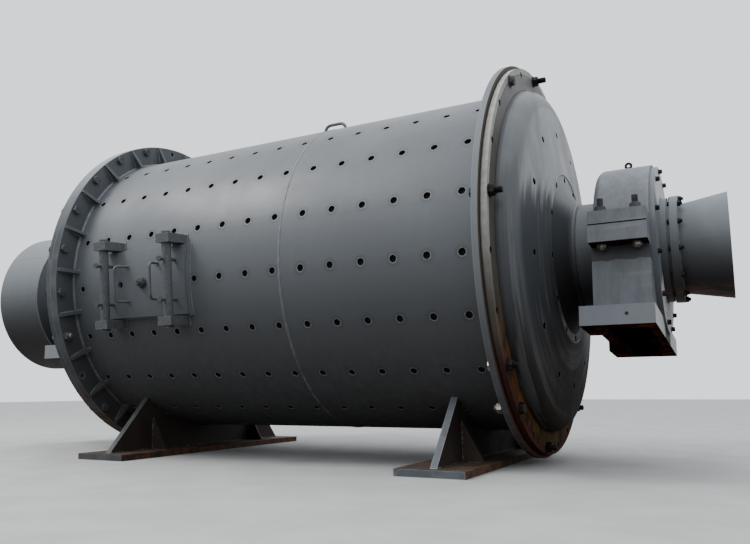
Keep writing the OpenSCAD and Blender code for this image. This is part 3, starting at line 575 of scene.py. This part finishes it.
def discharge_flange_paint():
    """The coat, with a painted highlight along the outer edge on the drum side, worn to brown steel in the
    groove beside the head and red-brown at the bottom.
    """
    s = Shader("discharge_flange_paint")
    along, radius, turn = polar(s)
    tone, rough, height = coat(s, [c * 1.12 for c in PAINT], 0.5)
    # Painted highlight: a pale line along the flange's outer edge on the drum side.
    edge = s.times(s.step(radius, 1.233, 1.2345), s.step(along, DRUM_LEN + 0.003, DRUM_LEN + 0.001))
    tone = s.mix(s.times(edge, 0.5), tone, PAINT_PALE)
    tear = s.noise(s.where(), 6.0, 7.0, 0.65)
    fall = fall_of(s, turn)
    bare = s.mix(s.step(fall, 0.2, 1.2), (0.10, 0.085, 0.07), (0.12, 0.045, 0.022))
    low = s.times(s.step(tear, 0.4, 0.55), s.step(fall, 0.8, 1.5, 0.0, 0.7))
    torn = s.greater(low, s.step(along, DRUM_LEN + FLANGE_T - 0.0015, DRUM_LEN + FLANGE_T - 0.0002))
    tone = s.mix(torn, tone, bare)
    s.bump(s.plus(height, s.times(torn, -0.5)), 0.0015, 0.6)
    return s.finish(tone, s.plus(rough, s.times(torn, 0.2)))


dress(gear_flange_paint(), "gear_flange", "gear_flange_gussets", "feed_head")
dress(discharge_flange_paint(), "discharge_flange")

# Discharge head
# A dished steel casting, machined at its rim, in a thin coat. Rain has washed pale dust over its upper half
# in ragged tongues; its lower half has gone brown and is darkened further with painted shade, as is its dish.
HEAD_HOLE_CIRCLES, FIRST_HEAD_HOLE, HEAD_HOLE_PITCH = (0.798, 0.503), radians(6.3), radians(30.0)


def head_paint():
    """Coat, with painted shade in the dish, brown grime and painted shade low down, pale dust in tongues that
    follow the turned arcs above the axis, a worn boss ring and hole edges, painted shade, nearly black, in
    the holes' bores, and a rim of brown machined steel."""
    s = Shader("head_paint")
    along, radius, turn = polar(s)
    tone, rough, height = coat(s, [c * 0.62 for c in PAINT], 0.3, 0.5)
    # Painted shade: darker in the dish.
    tone = s.mix(s.step(radius, 1.0, 0.93, 0.0, 0.6), tone, (0.042, 0.048, 0.055))
    _, y, z = s.split(s.where())
    rise = s.math("SUBTRACT", z, AXIS_Z)
    rings = s.add("CombineXYZ", 0, enumerate((
        s.times(radius, 30.0), s.times(s.math("DIVIDE", y, radius), 0.8),
        s.times(s.math("DIVIDE", rise, radius), 0.8))))
    arcs = s.noise(rings, 1.0, 4.0, 0.6)
    tongues = s.noise(rings, 0.55, 6.0, 0.65)
    level = s.plus(rise, s.times(tongues, 1.1))
    patch = s.noise(s.where(), 24.0, 4.0)
    cloud = s.noise(s.stretched(s.where(), (3.0, 6.0, 2.0)), 1.0, 6.0, 0.6)
    dust = s.mix(s.step(cloud, 0.35, 0.65), (0.25, 0.265, 0.28), (0.42, 0.435, 0.445))
    settled = s.times(s.step(level, 0.76, 0.90, 0.0, 0.88), s.step(radius, 1.0, 0.94, 0.3, 1.0))
    tone = s.mix(settled, tone, dust)
    # Painted shade with brown grime: darker and browner below the axis, in ragged tongues.
    low = s.step(level, 0.40, -0.30, 0.0, 0.8)
    tone = s.mix(low, tone, (0.030, 0.023, 0.017))
    tone = s.mix(s.step(arcs, 0.58, 0.66, 0.0, 0.22), tone, (0.34, 0.36, 0.37))
    fall = fall_of(s, turn)
    crescent = s.step(fall, 0.35, 0.8, 0.0, 0.045)
    worn = s.times(s.step(s.plus(radius, crescent), 0.517, 0.522), s.step(radius, 0.535, 0.531),
                   s.step(patch, 0.3, 0.6, 0.35, 0.8))
    bore_shade = 0.0
    for circle in HEAD_HOLE_CIRCLES:
        gap = length_of(s, s.math("SUBTRACT", radius, circle),
                        s.times(to_nearest(s, turn, FIRST_HEAD_HOLE, HEAD_HOLE_PITCH), circle))
        ring = s.step(s.plus(gap, s.times(patch, 0.01)), 0.0285, 0.0245, 0.0, 0.55)
        worn = s.greater(worn, ring)
        bore_shade = s.greater(bore_shade, s.step(gap, 0.0196, 0.0188))
    tone = s.mix(worn, tone, (0.34, 0.35, 0.35))
    # Painted shade: the holes' bores nearly black.
    tone = s.mix(bore_shade, tone, (0.006, 0.006, 0.006))
    flat = s.times(s.step(radius, 1.073, 1.077), s.step(radius, RIM_R + 0.0005, RIM_R - 0.0005))
    runs = s.noise(s.stretched(s.where(), (9.0, 13.0, 7.0)), 1.0, 7.0, 0.68)
    mottled = s.mix(runs, (0.03, 0.028, 0.023), (0.14, 0.128, 0.10))
    face = s.mix(s.step(fall, -0.95, -0.35), (0.25, 0.25, 0.245), mottled)
    rusty = s.mix(s.step(runs, 0.40, 0.6), (0.035, 0.018, 0.012), (0.15, 0.065, 0.022))
    bottom = s.mix(s.step(runs, 0.38, 0.6), (0.03, 0.02, 0.012), (0.11, 0.07, 0.022))
    rusty = s.mix(s.step(fall, 0.9, 1.4), rusty, bottom)
    tone = s.mix(flat, tone, s.mix(s.step(fall, 0.15, 0.6), face, rusty))
    seam = s.greater(s.step(radius, 1.1705, 1.1735), s.step(radius, 1.084, 1.079))
    tone = s.mix(s.times(flat, seam, 0.7), tone, (0.022, 0.02, 0.018))
    proud = s.step(along, DRUM_LEN + FLANGE_T + 0.0011, DRUM_LEN + FLANGE_T + 0.0019)
    rim = s.times(s.step(radius, RIM_R - 0.0005, RIM_R + 0.0005), proud)
    cream = s.mix(s.step(patch, 0.35, 0.7), (0.52, 0.515, 0.48), (0.40, 0.39, 0.35))
    cream = s.mix(s.step(fall, -0.1, 0.4), cream, (0.13, 0.115, 0.095))
    tone = s.mix(rim, tone, s.mix(s.step(fall, 0.4, 0.65), cream, (0.08, 0.030, 0.024)))
    s.put(s.surface.inputs["Specular IOR Level"], s.step(s.greater(bore_shade, low), 0.0, 1.0, 0.5, 0.0))
    s.bump(s.plus(height, s.times(arcs, 0.5)), 0.0015, 0.5)
    return s.finish(tone, s.plus(rough, s.times(s.greater(rim, flat), 0.2)))


dress(head_paint(), "discharge_head")

# Trunnions, feeder, mouth, seal covers and door
# Castings and welded plate in the same coat, each with its own share of dust and rust, and some with painted
# shade.


def mouth_paint():
    """The coat, darkened on the flare by painted shade with some dirt, darkened below by painted shade,
    streaked with orange under the mouth and bare and rusty in the bore."""
    s = Shader("mouth_paint")
    along, radius, turn = polar(s)
    tone, rough, height = coat(s, PAINT, 0.4, 0.4)
    fall = fall_of(s, turn)
    # Painted shade with some dirt: the concave flare dark, most of all low down.
    flare = s.times(s.step(along, 3.325, 3.29), s.step(fall, -0.95, -0.45, 0.15, 0.85))
    tone = s.mix(flare, tone, (0.045, 0.046, 0.05))
    streak = s.noise(s.stretched(s.where(), (0.8, 14.0, 14.0)), 1.6, 5.0, 0.6)
    # Painted shade: darker from just above the axis level downwards.
    tone = s.mix(s.step(fall, -0.25, 0.9, 0.0, 0.88), tone, (0.026, 0.023, 0.022))
    below = s.times(s.step(fall, 0.85, 1.15), s.step(along, 3.74, 3.8))
    orange = s.times(below, s.step(streak, 0.42, 0.58))
    tone = s.mix(s.times(orange, 0.7), tone, (0.25, 0.095, 0.032))
    (_, y, z), facing = s.split(s.where()), s.facing()
    outward = s.plus(s.times(y, facing[1]), s.times(s.math("SUBTRACT", z, AXIS_Z), facing[2]))
    bore = s.step(s.math("DIVIDE", outward, radius), -0.3, -0.6)
    tone = s.mix(bore, tone, s.mix(s.step(streak, 0.4, 0.62), (0.035, 0.03, 0.027), (0.09, 0.045, 0.025)))
    s.bump(height, 0.0015, 0.5)
    return s.finish(tone, rough)


def plain_paint(name, share=1.0, shine=0.42, dirt=0.75, wear=0.0, below=0.0):
    """The coat alone, or with chipped pale edges, flecks and a coarse flame-cut grain as far as wear asks,
    and with painted shade round its lower half as far as below asks."""
    s = Shader(name)
    tone, rough, height = coat(s, [c * share for c in PAINT], shine, dirt)
    if wear:
        grain = s.noise(s.stretched(s.where(), (1.0, 1.0, 0.6)), 85.0, 4.0, 0.6)
        chip = s.times(s.edges(0.006), s.step(s.noise(s.where(), 60.0, 3.0), 0.4, 0.55, 0.25, 1.0))
        fleck = s.step(s.noise(s.where(), 150.0, 3.0), 0.60, 0.68, 0.0, 0.35)
        tone = s.mix(s.times(s.greater(chip, fleck), wear), tone, (0.40, 0.415, 0.42))
        tone = s.mix(s.step(grain, 0.55, 0.4, 0.0, 0.5 * wear), tone, PAINT_DARK)
        height = s.plus(height, s.times(grain, 2.0 * wear))
    if below:
        # Painted shade: darker round the lower half.
        under = s.step(fall_of(s, polar(s)[2]), -0.3, 0.75, 0.0, below)
        tone = s.mix(under, tone, (0.024, 0.023, 0.024))
    s.bump(height, 0.0015, 0.5)
    return s.finish(tone, rough)


dress(mouth_paint(), "discharge_mouth", "discharge_trunnion")
# The feeder takes painted shade round its lower half.
dress(plain_paint("feeder_paint", 1.0, 0.38, below=0.9), "feeder_neck", "feeder_drum",
      "feeder_inlet_plate", "feed_trunnion")
dress(plain_paint("door_paint", 0.9, 0.45, wear=0.12), "manhole_frame", "manhole_door")
dress(plain_paint("clamp_paint", 0.7, 0.5, wear=0.8), "clamp_lugs", "clamp_bars", "door_handles",
      "lifting_loop")
dress(plain_paint("clamp_screw_paint", 0.55, 0.4), "clamp_screws")

# Bearing housings
# Grey iron castings, a lighter coat than the drum, rusty and black underneath where they were bare, the black
# deepened by painted shade.
# The discharge housing has rolled a little on its trunnion.
FEED_BEARING_AT, DISCHARGE_BEARING_AT, ROLLED_BACK = -0.627, 3.607, radians(-5.2)


def housing_paint(name, at, tilt):
    """The coat a little lighter and brushed on, chipped at the edges, black along the split, with a painted
    shadow below the split flange, painted light on the base plate's ends, whitish with a dark middle, with
    one scar, and with nearly black rust, deepened as painted shade, in the hollow, on the far foot and on
    every face that looks down."""
    s = Shader(name)
    along, radius, turn = polar(s)
    tone, rough, height = coat(s, [c * 1.12 for c in PAINT], 0.42, 0.3)
    brush = s.noise(s.stretched(s.where(), (3.0, 3.0, 1.0)), 6.0, 6.0, 0.65)
    tone = s.mix(s.step(brush, 0.35, 0.6, 0.45, 0.0), tone, [c * 0.6 for c in PAINT])
    chip = s.times(s.edges(0.005), s.step(s.noise(s.where(), 40.0, 3.0), 0.45, 0.6))
    tone = s.mix(s.times(chip, 0.4), tone, PAINT_PALE)
    own_turn = s.math("SUBTRACT", turn, tilt)
    high = s.times(radius, s.math("SINE", own_turn), -1.0)
    nearer = s.times(radius, s.math("COSINE", own_turn))
    aside = s.size(nearer)
    strokes = s.noise(s.stretched(s.where(), (2.0, 16.0, 16.0)), 1.0, 5.0, 0.6)
    tone = s.mix(s.step(strokes, 0.52, 0.7, 0.0, 0.3), tone, PAINT_PALE)
    ragged = s.plus(high, s.times(brush, 0.03))
    # Painted shadow: dark on the body just below the split flange.
    flange_shadow = s.times(s.step(ragged, -0.168, -0.160), s.step(high, -0.0985, -0.0992))
    line = s.times(s.step(s.size(high), 0.0042, 0.003),
                  s.step(s.noise(s.where(), 22.0, 3.0), 0.36, 0.44, 0.3, 1.0))
    joint_and_shadow = s.greater(line, s.times(flange_shadow, s.step(aside, 0.565, 0.555, 0.0, 0.75)))
    tone = s.mix(joint_and_shadow, tone, (0.018, 0.018, 0.02))
    facing, plate = s.facing(), s.step(high, -0.36, -0.39)
    hollow = s.times(s.step(s.size(s.math("SUBTRACT", along, at)), 0.130, 0.125),
                     s.step(aside, 0.530, 0.525), plate)
    inward = s.times(facing[0], 1.0 if at < 0 else -1.0)
    bare = s.greater(s.step(facing[1], -0.4, -0.8), s.step(inward, 0.4, 0.8))
    far_foot = s.times(s.step(nearer, -0.17, -0.2), bare, plate)
    # Nearly black rust, deepened as painted shade, in the hollow, on the far foot and on every face that
    # looks down.
    under = s.greater(hollow, far_foot, s.step(facing[2], -0.4, -0.8))
    rust = s.noise(s.where(), 7.0, 6.0, 0.65)
    foot = s.step(high, -0.43, -0.45)
    tone = s.mix(s.times(foot, 0.6), tone, [c * 1.6 for c in PAINT])
    # Painted light: the base plate's end faces whitish as if lit from behind the camera, dark across their
    # middle.
    lit_ends = s.times(s.step(s.size(facing[0]), 0.7, 0.9), foot, 0.9)
    lit_end_tone = s.mix(s.step(aside, 0.12, 0.2), (0.05, 0.04, 0.035), (0.85, 0.86, 0.86))
    tone = s.mix(lit_ends, tone, lit_end_tone)
    scar = length_of(s, s.math("SUBTRACT", along, at + 0.029), s.plus(high, 0.492))
    scar = s.times(s.step(scar, 0.011, 0.008), s.step(aside, 0.5, 0.52))
    tone = s.mix(scar, tone, (0.02, 0.018, 0.012))
    red = s.times(s.step(rust, 0.46, 0.62), foot)
    tone = s.mix(under, tone, s.mix(red, (0.022, 0.012, 0.010), (0.16, 0.043, 0.018)))
    s.put(s.surface.inputs["Specular IOR Level"], s.step(under, 0.0, 1.0, 0.5, 0.0))
    s.bump(s.plus(height, s.times(s.noise(s.where(), 120.0, 3.0), 0.4)), 0.0018, 0.6)
    return s.finish(tone, rough)


def cover_paint():
    """The coat on a seal cover, worn to whitish patches at its top and bottom, brightened further as painted
    light.
    """
    s = Shader("seal_cover_paint")
    tone, rough, height = coat(s, PAINT, 0.42, 0.4)
    ends = s.step(s.size(s.math("SINE", polar(s)[2])), 0.50, 0.64)
    flat = s.step(s.size(s.facing()[0]), 0.6, 0.9)
    # Worn whitish patches, brightened further as painted light on the cover's face.
    patch = s.times(ends, flat, s.step(s.noise(s.where(), 11.0, 6.0, 0.65), 0.32, 0.44), 0.95)
    tone = s.mix(patch, tone, (0.86, 0.87, 0.87))
    s.bump(height, 0.0015, 0.5)
    return s.finish(tone, rough)


def bronze():
    """Cast bearing bronze, turned in the bore."""
    s = Shader("bearing_bronze")
    grooves = s.noise(s.stretched(s.where(), (160.0, 1.0, 1.0)), 2.0, 3.0)
    s.bump(grooves, 0.0004, 0.4)
    tone = s.mix(grooves, (0.42, 0.27, 0.12), (0.55, 0.38, 0.18))
    return s.finish(tone, s.step(grooves, 0.3, 0.7, 0.25, 0.4), 1.0)


dress(housing_paint("feed_housing_paint", FEED_BEARING_AT, 0.0), "feed_bearing_base", "feed_bearing_cap")
dress(housing_paint("discharge_housing_paint", DISCHARGE_BEARING_AT, ROLLED_BACK),
      "discharge_bearing_base", "discharge_bearing_cap")
dress(cover_paint(), "feed_seal_cover", "discharge_seal_cover")
dress(bronze(), "feed_bush_lower", "feed_bush_upper", "discharge_bush_lower", "discharge_bush_upper")

# Fasteners
# Forged black and zinc-plated hex bolts, nuts, studs and washers, turned and threaded in true size.
# A hex size here is half the width across its corners, and a thread size is a radius.
FLANGE_HEX, FLANGE_THREAD, SMALL_HEX, SMALL_THREAD = 0.0315, 0.018, 0.0173, 0.010


def turned(name, profile, origins, axis, material, seed, body="mill"):
    """A solid of revolution set at each origin along the axis. A profile row is radius, height and
    hex share h: at angle t the radius is r (1 - h + h cos 30 / cos(t mod 60 - 30)), with angles in
    degrees, which is a hexagon where h is 1. Each one is spun by a random angle."""
    profile, origins = np.asarray(profile, float), np.asarray(origins, float)
    sides, rows, count = 24, len(profile), len(origins)
    t = np.arange(sides) * tau / sides
    hexed = cos(pi / 6) / np.cos(np.mod(t, pi / 3) - pi / 6)
    r = profile[:, :1] * (1 + profile[:, 2:] * (hexed[None] - 1))
    axes = np.broadcast_to(axis / np.linalg.norm(axis), origins.shape)
    other = np.where(np.abs(axes[:, :1]) < 0.9, np.array([[1.0, 0, 0]]), np.array([[0, 1.0, 0]]))
    u = np.cross(other, axes)
    u = u / np.linalg.norm(u, axis=-1, keepdims=True)
    v = np.cross(axes, u)
    spin = np.random.default_rng(seed).uniform(0, tau, count)[:, None]
    u, v = u * np.cos(spin) + v * np.sin(spin), v * np.cos(spin) - u * np.sin(spin)
    verts = (origins[:, None, None] + (r * np.cos(t))[None, :, :, None] * u[:, None, None]
             + (r * np.sin(t))[None, :, :, None] * v[:, None, None]
             + profile[None, :, 1, None, None] * axes[:, None, None])
    first = np.arange(count)[:, None, None] * rows * sides
    walls = (strips(rows, sides, False, True)[None] + first).reshape(-1)
    ends = np.stack([np.arange(sides)[::-1], (rows - 1) * sides + np.arange(sides)])
    ends = (ends[None] + first).reshape(-1)
    starts = np.concatenate([np.arange(len(walls) // 4) * 4, len(walls) + np.arange(count * 2) * sides])
    return add_piece(name, verts.reshape(-1, 3), np.concatenate([walls, ends]), starts, material,
                     body, 35.0)


def washer(r, t):
    return [(r, 0.0, 0), (r, t * 0.8, 0), (r * 0.97, t, 0)]


def hexagon(r, z0, z1):
    """A hex head or nut with its chamfered far edge."""
    c = 0.07 * (z1 - z0) + 0.001
    return [(r, z0, 1), (r, z1 - 2 * c, 1), (r * 0.95, z1 - c * 0.6, 0.75), (r * 0.87, z1, 0)]


def thread(r, z0, z1, pitch=0.0035):
    """A threaded end: each turn dips to 0.91 of the radius."""
    turns = max(2, int((z1 - z0) / pitch))
    z = np.linspace(z0, z1 - 0.0015, 2 * turns + 1)
    wave = np.where(np.arange(2 * turns + 1) % 2, r, 0.91 * r)
    return [*zip(wave, z, np.zeros_like(z)), (0.8 * r, z1, 0)]


def steel(name, colour, patches, shine, metallic):
    """Bolt steel: one tone, patches of the other and a fine forged grain."""
    s = Shader(name)
    blot = s.noise(s.where(), 42.0, 5.0, 0.6)
    s.bump(s.noise(s.where(), 220.0, 3.0), 0.0005, 0.4)
    tone = s.mix(s.step(blot, 0.48, 0.64), colour, patches)
    return s.finish(tone, s.step(blot, 0.3, 0.7, shine, shine + 0.25), metallic)


black_steel = steel("black_bolt_steel", (0.018, 0.017, 0.017), (0.045, 0.035, 0.028), 0.38, 0.6)
zinc = steel("zinc_bolt_steel", (0.52, 0.52, 0.50), (0.30, 0.26, 0.20), 0.28, 0.9)
dull_zinc = steel("dull_zinc_steel", (0.24, 0.25, 0.26), (0.12, 0.115, 0.11), 0.42, 0.8)
bolt_paint = steel("painted_bolts", (0.085, 0.094, 0.103), (0.05, 0.053, 0.057), 0.62, 0.0)


def on_flange(k, s, r):
    """The numbered bolt places of a flange, at distance s and radius r."""
    return at_drum(s, r, FIRST_FLANGE_BOLT + np.asarray(k) * FLANGE_BOLT_PITCH)


# Gear flange bolts: three places are empty or differ, and one of them holds a plated bolt put in
# from the other side.
GEAR_BOLTS, GEAR_FRONT, GEAR_BACK = [k for k in range(24) if k not in (2, 3, 19)], 0.0, -0.095
head = hexagon(FLANGE_HEX, 0.0, 0.0225)
nut = [*hexagon(FLANGE_HEX, 0.0, 0.029), *thread(FLANGE_THREAD, 0.0295, 0.046)]
plated = [*washer(0.033, 0.004), *hexagon(FLANGE_HEX, 0.004, 0.031), *thread(FLANGE_THREAD, 0.0315, 0.052)]
for name, profile, places, at, way, metal, seed in (
        ("gear_flange_bolt_heads", head, GEAR_BOLTS, GEAR_FRONT, PLUS, bolt_paint, 21),
        ("gear_flange_nuts", nut, GEAR_BOLTS, GEAR_BACK, MINUS, black_steel, 22),
        ("gear_flange_plated_bolt", plated, [2], GEAR_FRONT, PLUS, dull_zinc, 23),
        ("gear_flange_plated_head", head, [2], GEAR_BACK, MINUS, zinc, 24)):
    turned(name, profile, on_flange(places, at, GEAR_BOLT_R), way, metal, seed)

# Discharge flange bolts: only some are in place, as it left the works for transport. Each black
# stud is given with its own length, and each other piece with its numbered places.
BLACK_STUDS = {19: 0.082, 0: 0.070, 3: 0.062, 9: 0.062, 14: 0.062}
HEAD_FACE = DRUM_LEN + FLANGE_T + 0.04
nut = [*washer(0.036, 0.004), *hexagon(FLANGE_HEX, 0.004, 0.033)]
for k, length in BLACK_STUDS.items():
    turned(f"discharge_black_stud_{k}", [*nut, *thread(FLANGE_THREAD, 0.0335, length)],
           on_flange([k], HEAD_FACE, PLAIN_BOLT_R), PLUS, black_steel, 60 + k)
stud = [*nut, *thread(FLANGE_THREAD, 0.0335, 0.062)]
head = [*washer(0.036, 0.004), *hexagon(FLANGE_HEX, 0.004, 0.027)]
back_nut = hexagon(FLANGE_HEX, 0.0, 0.024)
slack_nut = [*thread(FLANGE_THREAD, 0.0, 0.021), *hexagon(FLANGE_HEX, 0.022, 0.050),
             *thread(FLANGE_THREAD, 0.0505, 0.066)]
for name, profile, places, at, way, metal, seed in (
        ("discharge_hex_heads", head, [21, 11, 16], HEAD_FACE, PLUS, bolt_paint, 26),
        ("discharge_dark_head", head, [4], HEAD_FACE, PLUS, black_steel, 25),
        ("discharge_dull_stud", stud, [6], HEAD_FACE, PLUS, black_steel, 27),
        ("discharge_flange_black_nuts", back_nut, [19, 0, 9, 14, 21, 11, 16], DRUM_LEN, MINUS,
         black_steel, 28),
        ("discharge_flange_plated_nuts", back_nut, [3, 6], DRUM_LEN, MINUS, zinc, 59),
        ("discharge_flange_slack_nut", slack_nut, [4], DRUM_LEN, MINUS, zinc, 61)):
    turned(name, profile, on_flange(places, at, PLAIN_BOLT_R), way, metal, seed)

# Manhole bolt: one stud with its nut holds the door's middle until the clamps are screwed up.
bolt = [*washer(0.036, 0.005), *hexagon(FLANGE_HEX, 0.005, 0.031), *thread(0.0165, 0.0315, 0.05)]
turned("manhole_bolt", bolt, at_drum(DOOR_AT, DOOR_FACE_R, DOOR_PHI)[None], radial(DOOR_PHI), bolt_paint, 29)

# Bearing fasteners
# Four studs with nuts and washers clamp each cap, twelve bolts hold each seal cover, and a small
# forged eye bolt in the cap's crown lifts it.
BEARINGS = {"feed": (FEED_BEARING_AT, -1, 0.0), "discharge": (DISCHARGE_BEARING_AT, 1, ROLLED_BACK)}
STUD_X, STUD_Y, STUD_THREAD = 0.09 * np.array([-1, 1, -1, 1]), 0.585 * np.array([-1, -1, 1, 1]), 0.0165
COVER_FACE, COVER_BOLT_R, CROWN = 0.18, 0.472, 0.515
EYE_R, EYE_ROD_R, EYE_HIGH = 0.0165, 0.0074, 0.569


def on_bearing(end, x, y, z):
    """Points of a bearing, from its middle: x away from the drum, y across and z up, as turned."""
    at, way, turn = BEARINGS[end]
    x, y, z = np.broadcast_arrays(*(np.asarray(v, float) for v in (x, y, z)))
    across, above = y * cos(turn) - z * sin(turn), y * sin(turn) + z * cos(turn)
    return np.stack([at - SHIFT + way * x, across, AXIS_Z + above], -1)


for end, key in (("feed", 30), ("discharge", 40)):
    _, way, turn = BEARINGS[end]
    body, lift = end + "_bearing", np.array([0.0, -sin(turn), cos(turn)])
    top, foot = on_bearing(end, STUD_X, STUD_Y, 0.076), on_bearing(end, STUD_X, STUD_Y, -0.099)
    a = radians(15) + np.arange(12) * tau / 12
    rim = on_bearing(end, COVER_FACE, COVER_BOLT_R * np.cos(a), COVER_BOLT_R * np.sin(a))
    stud = [(STUD_THREAD, 0.03, 0), *thread(STUD_THREAD, 0.042, 0.089)]
    lower_nut = [*hexagon(0.027, 0.0, 0.021), *thread(STUD_THREAD, 0.0215, 0.029)]
    bolt = [*washer(0.016, 0.003), *hexagon(0.0145, 0.003, 0.021)]
    turned(end + "_cap_washers", washer(0.034, 0.008), top, lift, dull_zinc, key, body)
    turned(end + "_cap_nuts", hexagon(0.030, 0.008, 0.042), top, lift, bolt_paint, key + 1, body)
    turned(end + "_cap_studs", stud, top, lift, bolt_paint, key + 2, body)
    turned(end + "_lower_nuts", lower_nut, foot, -lift, zinc, key + 3, body)
    turned(end + "_cover_bolts", bolt, rim, way * PLUS, black_steel, key + 4, body)
    # The eye: a ring bent from round rod, on a shank. The ring is parametric in two angles.
    p, q = np.meshgrid(np.arange(64) * tau / 64, np.arange(20) * tau / 20, indexing="ij")
    ring = EYE_R + EYE_ROD_R * np.cos(q)
    verts = on_bearing(end, ring * np.cos(p), -EYE_ROD_R * np.sin(q) * way, EYE_HIGH + ring * np.sin(p))
    quads = strips(64, 20, True, True)
    add_piece(end + "_eye_ring", verts.reshape(-1, 3), quads, np.arange(len(quads)) * 4, black_steel, body)
    shank = [(0.013, -0.004, 0), (0.013, 0.006, 0), (0.009, 0.010, 0), (0.008, 0.044, 0)]
    turned(end + "_eye_shank", shank, on_bearing(end, [0.0], [0.0], [CROWN]), lift, black_steel,
           key + 5, body)

# Mouth and feeder joints
# Twelve bolts hold the mouth's flange to the trunnion, and twelve more hold the feeder; round beads
# join the plates, and one long seam closes the rolled wall of the feeder.
JOINT_BOLT_R, FEEDER_R, FEEDER_SEAM = 0.2985, 0.5995, radians(-33.7)
a = radians(8) + np.arange(12) * tau / 12
head = hexagon(SMALL_HEX, 0.0, 0.0125)
bolt = [*washer(0.018, 0.003), *hexagon(SMALL_HEX, 0.003, 0.016),
        *thread(SMALL_THREAD, 0.0165, 0.026, 0.0025)]
for name, profile, at, way, seed in (
        ("mouth_bolts", bolt, 3.883, PLUS, 51), ("mouth_bolt_heads", head, 3.841, MINUS, 52),
        ("feeder_bolt_heads", head, -0.861, PLUS, 53), ("feeder_bolts", bolt, -0.903, MINUS, 58)):
    turned(name, profile, at_drum(at, JOINT_BOLT_R, a), way, black_steel, seed)
for name, at, r, way, points, wide, high, seed in (
        ("mouth_cone_weld", 3.8835, 0.265, PLUS, 260, 0.010, 0.006, 54),
        ("feeder_front_weld", -0.9895, FEEDER_R, PLUS, 520, 0.008, 0.002, 55),
        ("feeder_neck_weld", -0.9885, 0.267, PLUS, 260, 0.010, 0.006, 57),
        ("feeder_flange_weld", -0.9035, 0.267, MINUS, 260, 0.010, 0.006, 57)):
    line, out = ring_line(at, r, points)
    beads(name, line, out + way, wide=wide, high=high, closed=True, seed=seed)
line = at_drum(np.linspace(-1.448, -0.993, 76), FEEDER_R, FEEDER_SEAM)[None]
beads("feeder_seam", line, radial(np.full(76, FEEDER_SEAM))[None], wide=0.014, high=0.0024, seed=56)
